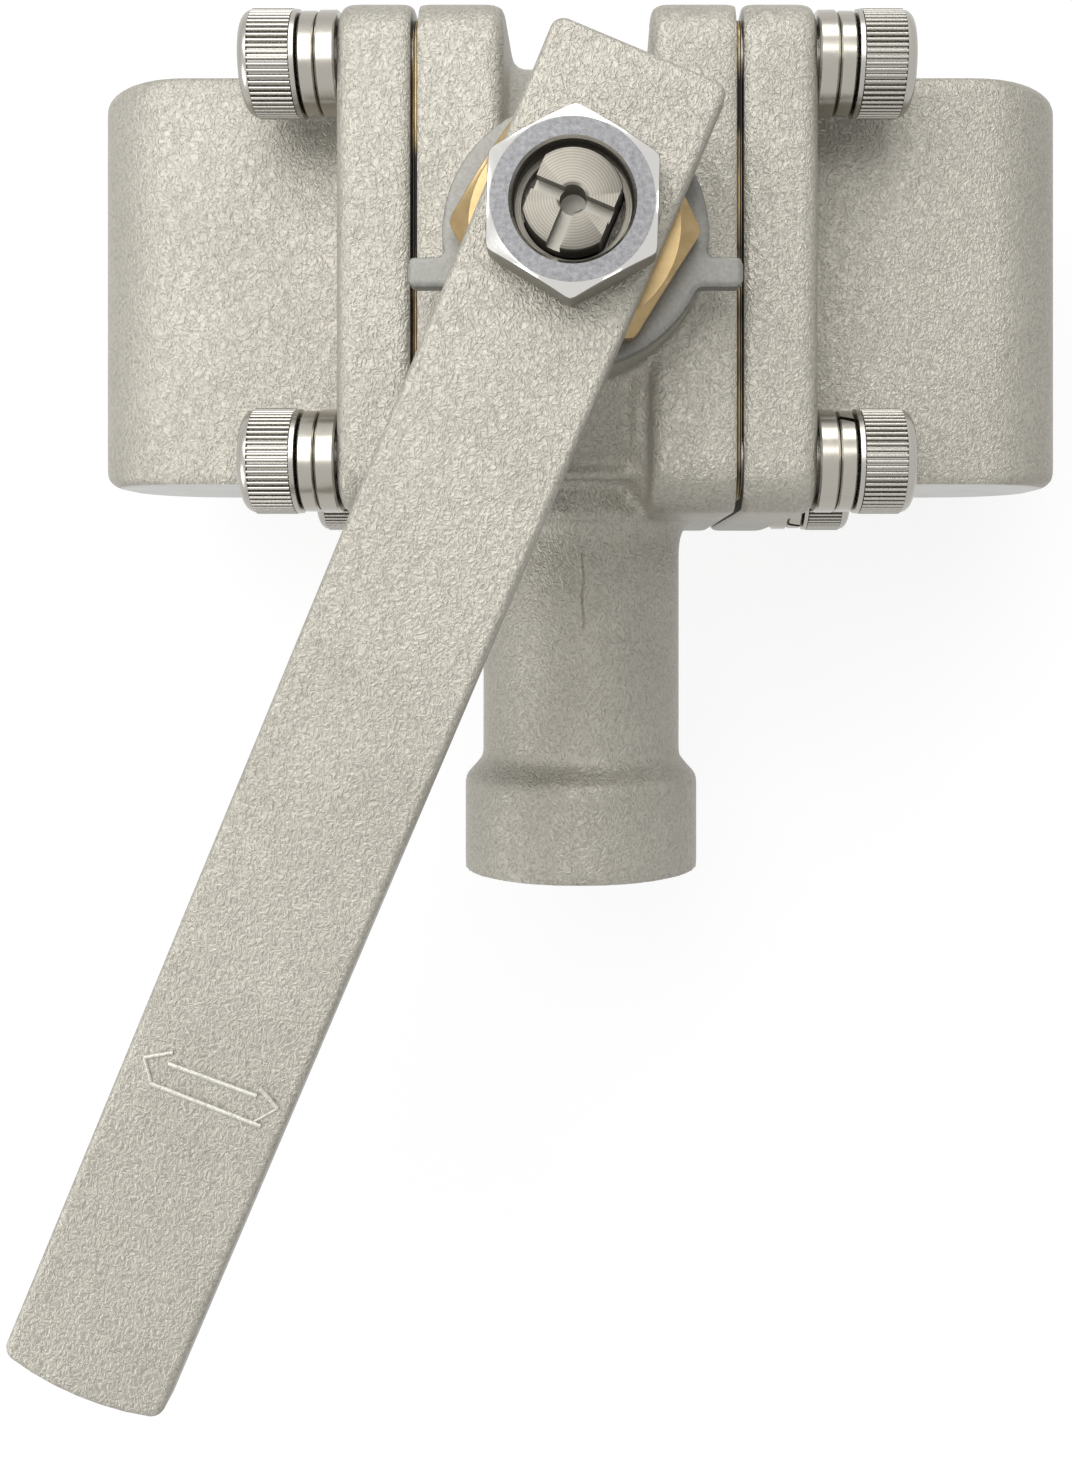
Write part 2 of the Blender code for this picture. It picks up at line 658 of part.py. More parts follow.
def make_disc_springs():
    """Two opposed disc springs, touching at their outer edges."""
    inner, outer = stem_hole_radius, box_filler_radius
    for name, low, lift_inner, lift_outer in (
            ("disc_spring_lower", spring_z, 0, DISC_SPRING_CONE),
            ("disc_spring_upper", spring_z + spring_height + SEAT_GAP, DISC_SPRING_CONE, 0)):
        profile = [(inner, low + lift_inner), (outer, low + lift_outer),
                   (outer, low + lift_outer + DISC_SPRING_THICK),
                   (inner, low + lift_inner + DISC_SPRING_THICK)]
        finish(turned(name, profile, ROUND), "spring steel")


def chamfer_tool(across_flats, low, high, both_ends):
    """A disc that trims the corners of a hexagon of the same size."""
    flat_radius = across_flats / 2 * NUT_FACE_SHARE
    corner_radius = across_flats / math.sqrt(3) * NUT_TRIM_SPACE
    drop = (corner_radius - flat_radius) * NUT_CHAMFER_SLOPE
    top = [(corner_radius, high - drop), (flat_radius, high)]
    bottom = [(flat_radius, low), (corner_radius, low + drop)]
    if not both_ends:
        bottom = [(corner_radius, low)]
    return turned("chamfer", [(0, low)] + bottom + top + [(0, high)], ROUND)


def make_gland_nut():
    """The brass gland nut: a hexagon over a threaded sleeve that presses on the springs."""
    top = gland_z + GLAND_HEX_HEIGHT
    nut = prism("gland_nut", hexagon(GLAND_ACROSS_FLATS, GLAND_TURN), gland_z, top)
    trim(nut, chamfer_tool(GLAND_ACROSS_FLATS, gland_z, top, False))
    sleeve = rod("sleeve", box_filler_radius, gland_end_z, gland_z + GLAND_HEX_HEIGHT / 2, ROUND)
    join(nut, sleeve)
    cut(nut, rod("stem hole", stem_hole_radius, gland_end_z - BOSS_RISE, top + BOSS_RISE, ROUND))
    return finish(nut, "brass")


def stop_plate_outline():
    """A circle with two tabs, rounded at their ends and filleted into the circle."""
    tab_top = -(LUG_WIDTH / 2 + STOP_GAP)
    tab_bottom = tab_top - STOP_TAB_HEIGHT
    top_angle = math.asin(tab_top / STOP_DISC_RADIUS)
    bottom_angle = math.asin(tab_bottom / STOP_DISC_RADIUS)
    corners = []
    radii = []
    for start, end, tab_start, tab_end, side in (
            (top_angle, math.pi - top_angle, tab_top, tab_bottom, -1),
            (math.pi - bottom_angle, 2 * math.pi + bottom_angle, tab_bottom, tab_top, 1)):
        for step in range(SMALL_ROUND + 1):
            angle = start + (end - start) * step / SMALL_ROUND
            corners.append(Vector((STOP_DISC_RADIUS * math.cos(angle),
                                   STOP_DISC_RADIUS * math.sin(angle))))
            radii.append(STOP_TAB_ROUND if step in (0, SMALL_ROUND) else 0)
        corners += [Vector((side * STOP_TAB_REACH, tab_start)), Vector((side * STOP_TAB_REACH, tab_end))]
        radii += [STOP_TAB_ROUND] * 2
    return rounded_outline(corners, radii, EDGE_STEPS)


def make_stop_plate():
    """The stop plate: a disc with two tabs that the lever's lug meets."""
    top = stop_plate_z + STOP_PLATE_THICK
    plate = prism("stop_plate", stop_plate_outline(), stop_plate_z, top)
    cut(plate, rod("gland hole", PACKING_BOX_RADIUS, stop_plate_z - BOSS_RISE, top + BOSS_RISE, ROUND),
        *[dowel_hole(side, stop_plate_z - DOWEL_DEPTH, top + DOWEL_DEPTH) for side in (1, -1)])
    return finish(plate, "grey cast plate")


def make_stop_dowels():
    for name, side in (("stop_dowel_left", -1), ("stop_dowel_right", 1)):
        pin = rod(name, DOWEL_RADIUS, boss_top_z - DOWEL_DEPTH + SEAT_GAP,
                  stop_plate_z + STOP_PLATE_THICK - SEAT_GAP, SMALL_ROUND)
        aim(pin, Vector((0, 0, 1)), (dowel_place(side), 0, 0))
        finish(pin, "bright steel")


def lever_corners():
    """The lever's plan, handle towards -Y: four rounded corners, then points of the bulged tip."""
    tip_half, tail_half = LEVER_TIP_WIDTH / 2, LEVER_TAIL_WIDTH / 2
    tip = -LEVER_TIP_REACH
    corners = [Vector((tip_half, tip + LEVER_END_BULGE)), Vector((tail_half, LEVER_TAIL_REACH)),
               Vector((-tail_half, LEVER_TAIL_REACH)), Vector((-tip_half, tip + LEVER_END_BULGE))]
    for share in LEVER_BULGE_SHARES:
        corners.append(Vector((share * tip_half, tip + LEVER_END_BULGE * share * share)))
    return corners


def make_lever():
    """The cast lever: a tapered bar with soft edges and a stop lug under its tail."""
    lever = rounded_plate("lever", lever_corners(), LEVER_CORNER, LEVER_THICK,
                          LEVER_EDGE_ROUND, LEVER_EDGE_ROUND, EDGE_STEPS)
    aim(lever, Vector((0, 0, 1)), (0, 0, lever_z))
    lug = block("lug", (-LUG_WIDTH / 2, lug_inner_radius, stop_plate_z + LUG_LIFT),
                (LUG_WIDTH / 2, lug_inner_radius + LUG_THICK, lever_z + LEVER_THICK / 2))
    join(lever, lug)
    hole = double_d(stem_hole_radius, STEM_ACROSS_FLATS + 2 * SEAT_GAP, ROUND)
    cut(lever, prism("stem hole", hole, lever_z - LEVER_THICK, lever_z + 2 * LEVER_THICK))
    return finish(lever, "cast stainless")


def make_stem_nut():
    """The stem nut: chamfered hexagon with a wide counterbored mouth."""
    nut = prism("stem_nut", hexagon(NUT_ACROSS_FLATS, 90 + NUT_TURN - LEVER_REST_TURN), nut_z, nut_top_z)
    trim(nut, chamfer_tool(NUT_ACROSS_FLATS, nut_z, nut_top_z, True))
    profile = [(0, nut_z - NUT_HEIGHT), (stem_hole_radius, nut_z - NUT_HEIGHT),
               (stem_hole_radius, nut_top_z - NUT_MOUTH_DEPTH),
               (NUT_MOUTH_RADIUS, nut_top_z - NUT_MOUTH_DEPTH),
               (NUT_MOUTH_RADIUS, nut_top_z + NUT_HEIGHT), (0, nut_top_z + NUT_HEIGHT)]
    cut(nut, turned("nut bore", profile, ROUND))
    return finish(nut, "machined stainless")


def make_cap_screw():
    """A socket head cap screw with its bearing face at z = 0 and its head above."""
    top = SCREW_HEAD_HEIGHT
    profile = [(0, -SCREW_LENGTH), (SCREW_RADIUS - SCREW_HEAD_CHAMFER, -SCREW_LENGTH),
               (SCREW_RADIUS, SCREW_HEAD_CHAMFER - SCREW_LENGTH), (SCREW_RADIUS, 0),
               (SCREW_HEAD_RADIUS, 0), (SCREW_HEAD_RADIUS, top - SCREW_HEAD_CHAMFER),
               (SCREW_HEAD_RADIUS - SCREW_HEAD_CHAMFER, top), (0, top)]
    screw = turned("cap screw", profile, SMALL_ROUND)
    return cut(screw, prism("socket", hexagon(SCREW_SOCKET_FLATS, 0), top - SCREW_SOCKET_DEPTH, 2 * top))


def make_lock_washer():
    """A spring washer with one slanted split."""
    hole = SCREW_RADIUS + SEAT_GAP
    washer = ring("lock washer", hole, LOCK_WASHER_RADIUS, 0, LOCK_WASHER_THICK, SMALL_ROUND)
    slant = LOCK_WASHER_THICK / 2
    low, high = -LOCK_WASHER_THICK, 2 * LOCK_WASHER_THICK
    half = LOCK_WASHER_SPLIT / 2
    sections = []
    for radius in (hole / 2, 2 * LOCK_WASHER_RADIUS):
        sections.append([Vector((radius, -half - slant, low)), Vector((radius, half - slant, low)),
                         Vector((radius, half + slant, high)), Vector((radius, slant - half, high))])
    return cut(washer, lofted("split", sections))


def make_flat_washer():
    hole = SCREW_RADIUS + SCREW_HOLE_SPACE
    chamfer = SCREW_HEAD_CHAMFER / 2
    profile = [(hole, 0), (FLAT_WASHER_RADIUS - chamfer, 0), (FLAT_WASHER_RADIUS, chamfer),
               (FLAT_WASHER_RADIUS, FLAT_WASHER_THICK - chamfer),
               (FLAT_WASHER_RADIUS - chamfer, FLAT_WASHER_THICK), (hole, FLAT_WASHER_THICK)]
    return turned("flat washer", profile, SMALL_ROUND)


def place_fasteners():
    """Eight screws, each over a spring washer and a flat washer."""
    kinds = (("cap_screw", finish(make_cap_screw(), "bright steel"), screw_head_x),
             ("lock_washer", finish(make_lock_washer(), "bright steel"), lock_washer_x),
             ("flat_washer", finish(make_flat_washer(), "bright steel"), flat_washer_x))
    for kind, pattern, distance in kinds:
        for side_name, side in (("left", -1), ("right", 1)):
            turn = Vector((0, 0, 1)).rotation_difference(side * ALONG_X)
            for place, y, z in bolt_places():
                copy = bpy.data.objects.new(f"{kind}_{side_name}_{place}", pattern.data)
                bpy.context.scene.collection.objects.link(copy)
                copy.rotation_mode = "QUATERNION"
                copy.rotation_quaternion = turn
                copy.location = (side * distance, y, z)
        bpy.data.objects.remove(pattern, do_unlink=True)


def make_fixed_pieces():
    make_body()
    for side_name, side in (("left", -1), ("right", 1)):
        make_end_cap(f"end_cap_{side_name}", side)
        make_gasket(f"body_gasket_{side_name}", side)
        make_seat(f"seat_{side_name}", side)
    thrust = ring("thrust_washer", stem_hole_radius, SHOULDER_RADIUS, thrust_washer_z,
                  thrust_washer_z + THRUST_WASHER_THICK, ROUND)
    finish(thrust, "PTFE")
    make_packing_rings()
    follower = ring("gland_follower", stem_hole_radius, box_filler_radius, follower_z,
                    follower_z + FOLLOWER_HEIGHT, ROUND)
    finish(follower, "machined stainless")
    make_disc_springs()
    make_gland_nut()
    make_stop_plate()
    make_stop_dowels()
    place_fasteners()


def make_turning_pieces():
    """Lever, nut, stem and ball, modelled with the handle along -Y and turned together."""
    axis = bpy.data.objects.new("stem_axis", None)
    bpy.context.scene.collection.objects.link(axis)
    axis.rotation_euler.z = math.radians(LEVER_REST_TURN)
    for piece in (make_ball(), make_stem(), make_lever(), make_stem_nut()):
        piece.parent = axis


clear_scene()
make_fixed_pieces()
make_turning_pieces()
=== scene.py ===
# %% [markdown]
# # A cryogenic three-way ball valve
# The valve lies on its back, and the camera looks down its stem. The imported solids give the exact
# frame. This lesson dresses them: soft castings, machined faces, knurled screws, threads and nuts.

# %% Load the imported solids
import math

import bmesh
import bpy
from mathutils import Matrix, Vector


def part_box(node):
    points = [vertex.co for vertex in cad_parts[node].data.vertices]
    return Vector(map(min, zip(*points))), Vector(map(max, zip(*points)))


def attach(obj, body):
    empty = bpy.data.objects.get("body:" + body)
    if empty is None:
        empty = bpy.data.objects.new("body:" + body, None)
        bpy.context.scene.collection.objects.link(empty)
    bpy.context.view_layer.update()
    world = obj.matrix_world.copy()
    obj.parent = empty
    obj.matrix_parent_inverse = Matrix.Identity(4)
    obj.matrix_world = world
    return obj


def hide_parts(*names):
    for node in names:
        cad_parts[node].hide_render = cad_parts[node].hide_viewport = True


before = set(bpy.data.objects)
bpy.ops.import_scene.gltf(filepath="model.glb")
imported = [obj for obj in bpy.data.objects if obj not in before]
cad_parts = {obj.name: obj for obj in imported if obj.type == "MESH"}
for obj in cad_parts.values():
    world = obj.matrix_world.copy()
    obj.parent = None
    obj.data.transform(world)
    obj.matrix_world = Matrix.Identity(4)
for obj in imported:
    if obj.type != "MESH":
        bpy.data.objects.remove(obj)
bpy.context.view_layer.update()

# %% [markdown]
# ## Camera
# The photo was taken from close by, straight down. The place and the lens were fitted to edges of
# the photo that the solids have too. The shift keeps the photo's framing, which is not centred.

# %% Camera
FOCAL_LENGTH = 36.94
CAMERA_PLACE = (0.0056, -0.06796, 0.40413)
CAMERA_SHIFT = (-0.0471, -0.0967)

scene = bpy.context.scene
camera_data = bpy.data.cameras.new("camera")
camera_data.lens = FOCAL_LENGTH
camera_data.shift_x, camera_data.shift_y = CAMERA_SHIFT
camera_data.clip_start = 0.01
camera = bpy.data.objects.new("camera", camera_data)
camera.location = CAMERA_PLACE
scene.collection.objects.link(camera)
scene.camera = camera
scene.view_settings.view_transform = "Standard"
print("camera height over the floor:", CAMERA_PLACE[2])

# %% [markdown]
# ## Helpers for materials
# A colour is written as a web colour, and one function turns it to linear light. One function adds
# a node: plain values go to its sockets, and a socket given as a value becomes a link. Short
# functions over it give the noise, the waves and the sums that most materials share.

# %% Colours and nodes
PER_MM = 1000.0
# A wave texture multiplies its coordinate by this before it takes the sine
WAVE_STRETCH = 20.0


def colour(text):
    """A web colour such as C8C3B8 as linear red, green, blue and alpha."""
    channels = [int(text[i:i + 2], 16) / 255 for i in (0, 2, 4)]
    linear = [c / 12.92 if c <= 0.04045 else ((c + 0.055) / 1.055) ** 2.4 for c in channels]
    return (*linear, 1)


def add_node(tree, kind, inputs=None, **settings):
    """Add a node with its settings, its values and its links."""
    node = tree.nodes.new(kind)
    for name, value in settings.items():
        setattr(node, name, value)
    for name, value in (inputs or {}).items():
        if isinstance(value, bpy.types.NodeSocket):
            tree.links.new(value, node.inputs[name])
        else:
            node.inputs[name].default_value = value
    return node


def noise(tree, place, per_mm, detail, roughness=0.5, distortion=0.0):
    """A noise pattern with that many cells per millimetre."""
    return add_node(tree, "ShaderNodeTexNoise", {
        "Vector": place, "Scale": per_mm * PER_MM, "Detail": detail, "Roughness": roughness,
        "Distortion": distortion}).outputs["Fac"]


def waves(tree, place, spacing, kind, distortion, detail, **direction):
    """A pattern of even waves, their spacing in metres."""
    return add_node(tree, "ShaderNodeTexWave", {
        "Vector": place, "Scale": 2 * math.pi / (WAVE_STRETCH * spacing), "Distortion": distortion,
        "Detail": detail}, wave_type=kind, **direction).outputs["Fac"]


def remap(tree, value, start, end, low, high):
    """A value whose range from start to end becomes low to high."""
    return add_node(tree, "ShaderNodeMapRange", {
        "Value": value, "From Min": start, "From Max": end, "To Min": low, "To Max": high}).outputs["Result"]


def calculate(tree, operation, first, second):
    return add_node(tree, "ShaderNodeMath", {0: first, 1: second}, operation=operation).outputs["Value"]


def new_material(name, base, metallic, roughness):
    """A Principled material, with the node tree, the shader and the object coordinates."""
    material = bpy.data.materials.new(name)
    material.use_nodes = True
    tree = material.node_tree
    shader = tree.nodes["Principled BSDF"]
    shader.inputs["Base Color"].default_value = colour(base)
    shader.inputs["Metallic"].default_value = metallic
    shader.inputs["Roughness"].default_value = roughness
    place = add_node(tree, "ShaderNodeTexCoord").outputs["Object"]
    return material, tree, shader, place


def vary_colour(tree, shader, pattern, low, high, dark, light):
    """Colour that goes from dark to light as a pattern goes from low to high."""
    ramp = add_node(tree, "ShaderNodeValToRGB", {"Fac": pattern})
    ramp.color_ramp.elements[0].position = low
    ramp.color_ramp.elements[1].position = high
    ramp.color_ramp.elements[0].color = colour(dark)
    ramp.color_ramp.elements[1].color = colour(light)
    tree.links.new(ramp.outputs["Color"], shader.inputs["Base Color"])
    return ramp.outputs["Color"]


def paint_hollow_shade_and_dirt(tree, shader, paint, pattern, reach, least):
    """Let a colour sink to a share of itself in the hollows of a pattern: painted shade where the hollows
    would be shaded, with a little dirt.
    """
    share = remap(tree, pattern, *reach, least, 1.0)
    toned = add_node(tree, "ShaderNodeVectorMath", {0: paint, "Scale": share}, operation="SCALE")
    tree.links.new(toned.outputs["Vector"], shader.inputs["Base Color"])


def vary_roughness(tree, shader, pattern, least, most):
    tree.links.new(remap(tree, pattern, 0.0, 1.0, least, most), shader.inputs["Roughness"])


def bump_chain(tree, shader, layers):
    """Bumps laid over each other; each layer is (pattern, height in metres, strength)."""
    normal = None
    for pattern, height, strength in layers:
        inputs = {"Height": pattern, "Distance": height, "Strength": strength}
        if normal is not None:
            inputs["Normal"] = normal
        normal = add_node(tree, "ShaderNodeBump", inputs).outputs["Normal"]
    tree.links.new(normal, shader.inputs["Normal"])


print("helpers ready; a pattern with one cell per millimetre has a scale of", PER_MM)

# %% [markdown]
# ## Cast stainless steel
# The body, the end caps and the lever are investment castings, blasted with fine shot. The wax and
# the shell leave shallow, worm-like wrinkles a few millimetres long, and the blasting leaves a finer
# grain over them. The metal is pale and warm, and so dull that it looks half like stone: a part metallic
# shader with a middling roughness gives that better than a full metal does.

# %% Cast stainless steel
def make_cast_stainless(name, dark, light, wrinkle_height):
    material, tree, shader, place = new_material(name, light, 0.5, 0.46)
    # A warp turns the stretched noise about, so that the wrinkles run in all directions
    warp_reach = 0.0022
    warp = add_node(tree, "ShaderNodeTexNoise", {"Vector": place, "Scale": 0.35 * PER_MM, "Detail": 1.0})
    bend = add_node(tree, "ShaderNodeVectorMath", {0: warp.outputs["Color"], 1: (warp_reach,) * 3},
                    operation="MULTIPLY")
    bent = add_node(tree, "ShaderNodeVectorMath", {0: place, 1: bend.outputs["Vector"]}, operation="ADD")
    stretched = add_node(tree, "ShaderNodeMapping", {"Vector": bent.outputs["Vector"],
                                                     "Scale": (1.0, 0.7, 0.85)})
    # Wrinkles are about 0.5 mm across on the casting
    wrinkles = noise(tree, stretched.outputs["Vector"], 1.8, 1.5, distortion=0.6)
    grain = noise(tree, place, 2.6, 2.0, 0.6)
    swells = noise(tree, place, 0.06, 2.0)
    clouds = noise(tree, place, 0.05, 5.0, 0.62)
    paint = vary_colour(tree, shader, clouds, 0.3, 0.7, dark, light)
    # The wrinkles' hollows get painted shade, with a little dirt, so that the wrinkles show also where the
    # lamps don't reach
    paint_hollow_shade_and_dirt(tree, shader, paint, wrinkles, (0.3, 0.6), 0.74)
    vary_roughness(tree, shader, grain, 0.40, 0.52)
    bump_chain(tree, shader, [(swells, 0.0006, 0.3), (wrinkles, wrinkle_height, 0.8), (grain, 0.00006, 0.3)])
    return material


cast_stainless = make_cast_stainless("cast_stainless_blasted", "ADA99E", "B7B3A8", 0.00044)
cast_rubbed = make_cast_stainless("cast_stainless_rubbed", "C4C1B8", "CFCCC3", 0.00010)
print("castings:", cast_stainless.name, cast_rubbed.name)

# %% [markdown]
# ## Machined and bright steel
# Faces that seal or seat are milled or turned, and leave fine parallel or round marks. The marks of
# a turned face are about 0.3 mm apart, too fine for the render, so they are drawn 0.5 mm apart.

# %% Machined and bright steel
def make_milled_steel(name, base, roughness, axis_scale):
    """Steel with fine lines; the scale is small along the direction of the tool's path."""
    material, tree, shader, place = new_material(name, base, 0.9, roughness)
    stretched = add_node(tree, "ShaderNodeMapping", {"Vector": place, "Scale": axis_scale})
    lines = noise(tree, stretched.outputs["Vector"], 2.8, 2.0)
    smears = noise(tree, place, 0.15, 3.0)
    vary_roughness(tree, shader, smears, roughness - 0.06, roughness + 0.1)
    bump_chain(tree, shader, [(lines, 0.00004, 0.5)])
    return material


def make_turned_steel(name, dark, light, roughness, mark_height):
    """Steel with round tool marks about the stem's axis, which is the objects' Z axis."""
    material, tree, shader, place = new_material(name, light, 0.9, roughness)
    marks = waves(tree, place, 0.0005, "RINGS", 1.6, 2.0, rings_direction="Z")
    smears = noise(tree, place, 0.3, 4.0)
    vary_colour(tree, shader, marks, 0.2, 0.8, dark, light)
    vary_roughness(tree, shader, smears, roughness - 0.05, roughness + 0.12)
    bump_chain(tree, shader, [(marks, mark_height, 0.6)])
    return material


def make_bright_steel(name, base, roughness):
    """Plated and tumbled steel: mirror-like, with soft scuffs."""
    material, tree, shader, place = new_material(name, base, 1.0, roughness)
    scuffs = noise(tree, place, 0.6, 6.0, 0.7)
    vary_roughness(tree, shader, scuffs, roughness - 0.07, roughness + 0.12)
    bump_chain(tree, shader, [(scuffs, 0.00002, 0.2)])
    return material


machined_steel = make_milled_steel("machined_stainless_milled", "B4B3AF", 0.34, (0.03, 1.0, 1.0))
slot_steel = make_milled_steel("machined_stainless_slotted", "8A877F", 0.42, (1.0, 1.0, 0.03))
turned_steel = make_turned_steel("machined_stainless_turned", "726E66", "827E75", 0.38, 0.00001)
screw_steel = make_bright_steel("bright_stainless_screw", "AEABA4", 0.24)
washer_steel = make_bright_steel("bright_stainless_washer", "ABA79E", 0.2)
nut_steel = make_bright_steel("bright_stainless_nut", "D2D0CC", 0.22)
print("steels:", [m.name for m in (machined_steel, turned_steel, screw_steel, washer_steel, nut_steel)])

# %% [markdown]
# ## The other finishes
# The nut's ring face is matt and speckled, the stop plate is a grey blasted plate, the gland nut is
# bright brass. The gaskets are thin bronze foils with dark filler between them; the near-black of the
# filler is partly painted shade of the narrow gap, and the foils' bright patches are painted glints.
# PTFE, graphite and spring steel sit inside and are seen only through the ports.

# %% The other finishes
def make_speckled(name, base, metallic, roughness, dark, light, per_mm, height):
    """A dull surface with small specks."""
    material, tree, shader, place = new_material(name, base, metallic, roughness)
    specks = noise(tree, place, per_mm, 4.0, 0.7)
    vary_colour(tree, shader, specks, 0.3, 0.7, dark, light)
    vary_roughness(tree, shader, specks, roughness - 0.05, roughness + 0.08)
    bump_chain(tree, shader, [(specks, height, 0.5)])
    return material


def make_laminated(name, dark, light, layer):
    """Thin foils with dark filler between them, stacked along the run; the filler's near-black is partly
    painted shade, and the foils are bright only in patches of painted glint.
    """
    material, tree, shader, place = new_material(name, dark, 0.7, 0.3)
    foils = waves(tree, place, layer, "BANDS", 0.4, 1.0, bands_direction="X")
    # The foils are bright only in these patches, which are painted glints
    glint_patches = remap(tree, noise(tree, place, 0.05, 3.0), 0.38, 0.62, 0.0, 1.0)
    shown = calculate(tree, "MULTIPLY", foils, glint_patches)
    vary_colour(tree, shader, shown, 0.05, 0.75, dark, light)
    bump_chain(tree, shader, [(foils, 0.00006, 0.5)])
    return material


nut_face_matt = make_speckled("nut_face_blasted", "7C7C7C", 0.6, 0.46, "666667", "909092", 1.1, 0.00016)
plate_grey = make_speckled("stop_plate_blasted_grey", "84837E", 0.55, 0.46, "787772", "8F8E89", 1.2, 0.0001)
# Real foils lie about 0.2 mm apart; they are drawn 0.7 mm apart so that they show
# Its near-black is partly painted shade of the narrow gap, and its bright patches are painted glints
gasket_foil = make_laminated("gasket_foil_bronze", "14100A", "C2A66C", 0.0007)
brass = make_speckled("brass_machined", "A08A64", 0.85, 0.32, "96805A", "AA946D", 0.25, 0.00005)
ptfe = make_speckled("ptfe_turned_white", "E4E4E0", 0.0, 0.45, "DEDEDA", "EAEAE6", 0.5, 0.00003)
graphite = make_speckled("graphite_pressed", "2A2A2C", 0.1, 0.55, "222224", "333336", 1.5, 0.00008)
spring_steel = make_speckled("spring_steel_oiled", "6B6B6D", 0.95, 0.32, "606062", "767678", 0.4, 0.00003)
print("other finishes:", [m.name for m in (nut_face_matt, plate_grey, brass, gasket_foil, ptfe, graphite)])

# %% [markdown]
# ## Floor and light
# The photo has a white ground with soft, faint shadows, and light from the upper left. The floor
# shines a little for camera, glossy and transmission rays, so that it reads white and still keeps
# the shadow. One broad lamp stands high at the upper left. A low lamp at the left gives round shapes
# a light and a dark side, one behind the top of the picture draws their upper edges, and the sky is
# plain.

# %% Floor and light
FLOOR_HALF = 4.0
# The floor's own light, and its share of what the camera sees there
FLOOR_GLOW = 1.10
GLOW_SHARE = 0.80


def background_ray(tree):
    """1 for a ray from the camera, off a glossy surface or through glass, else 0."""
    path = add_node(tree, "ShaderNodeLightPath").outputs
    either = calculate(tree, "MAXIMUM", path["Is Camera Ray"], path["Is Glossy Ray"])
    return calculate(tree, "MAXIMUM", either, path["Is Transmission Ray"])


def mix_shaders(tree, share, first, second, output):
    """End a tree in a mix of two shader nodes."""
    mix = add_node(tree, "ShaderNodeMixShader", {"Fac": share, 1: first.outputs[0], 2: second.outputs[0]})
    add_node(tree, output, {"Surface": mix.outputs["Shader"]})


def make_floor():
    mesh = bpy.data.meshes.new("floor")
    corners = [(x * FLOOR_HALF, y * FLOOR_HALF, 0) for x, y in ((-1, -1), (1, -1), (1, 1), (-1, 1))]
    mesh.from_pydata(corners, [], [(0, 1, 2, 3)])
    floor = bpy.data.objects.new("floor", mesh)
    scene.collection.objects.link(floor)
    material = bpy.data.materials.new("studio_floor_white")
    material.use_nodes = True
    tree = material.node_tree
    tree.nodes.clear()
    lit = add_node(tree, "ShaderNodeBsdfDiffuse", {"Color": colour("E9E9E9")})
    glow = add_node(tree, "ShaderNodeEmission", {"Color": colour("FFFFFF"), "Strength": FLOOR_GLOW})
    mix_shaders(tree, calculate(tree, "MULTIPLY", background_ray(tree), GLOW_SHARE), lit, glow,
                "ShaderNodeOutputMaterial")
    mesh.materials.append(material)


def make_sky(level):
    world = bpy.data.worlds.new("studio_sky")
    scene.world = world
    world.use_nodes = True
    tree = world.node_tree
    tree.nodes.clear()
    ambient, seen = (add_node(tree, "ShaderNodeBackground", {"Color": colour("FFFFFF"), "Strength": strength})
                     for strength in (level, 1.0))
    mix_shaders(tree, background_ray(tree), ambient, seen, "ShaderNodeOutputWorld")


def add_lamp(name, place, target, size, power):
    data = bpy.data.lights.new(name, "AREA")
    data.size = size
    data.energy = power
    lamp = bpy.data.objects.new(name, data)
    lamp.location = place
    lamp.rotation_mode = "QUATERNION"
    lamp.rotation_quaternion = (Vector(place) - Vector(target)).to_track_quat("Z", "Y")
    scene.collection.objects.link(lamp)


make_floor()
make_sky(0.24)
add_lamp("key_lamp", (-0.34, 0.47, 1.25), (0.0, 0.0, 0.05), 1.05, 12.4)
add_lamp("fill_lamp", (-0.85, -0.50, 0.55), (0.0, -0.05, 0.05), 0.45, 3.6)
add_lamp("rim_lamp", (0.10, 1.00, 0.70), (0.0, -0.05, 0.05), 0.50, 3.2)

# %% [markdown]
# ## Helpers for shapes
# Most pieces are lofts through outlines or shapes turned about an axis. A casting is made of plain
# closed solids that overlap. A voxel remesh fuses them into one skin, and a few smoothing passes
# leave the soft fillets and edges that a casting has. Machined cutters then make the crisp faces.

# %% Helpers for shapes
ALONG_X, ALONG_Y, ALONG_Z = Vector((1, 0, 0)), Vector((0, 1, 0)), Vector((0, 0, 1))


def make_object(name, shape, material=None):
    mesh = bpy.data.meshes.new(name)
    shape.to_mesh(mesh)
    shape.free()
    thing = bpy.data.objects.new(name, mesh)
    scene.collection.objects.link(thing)
    if material:
        mesh.materials.append(material)
    return thing


def lofted(name, sections, material=None):
    """A closed solid through outlines of equal point counts."""
    shape = bmesh.new()
    rows = [[shape.verts.new(point) for point in section] for section in sections]
    for row, following in zip(rows, rows[1:]):
        for i in range(len(row)):
            j = (i + 1) % len(row)
            shape.faces.new((row[i], row[j], following[j], following[i]))
    shape.faces.new(rows[0])
    shape.faces.new(rows[-1])
    bmesh.ops.recalc_face_normals(shape, faces=shape.faces)
    return make_object(name, shape, material)


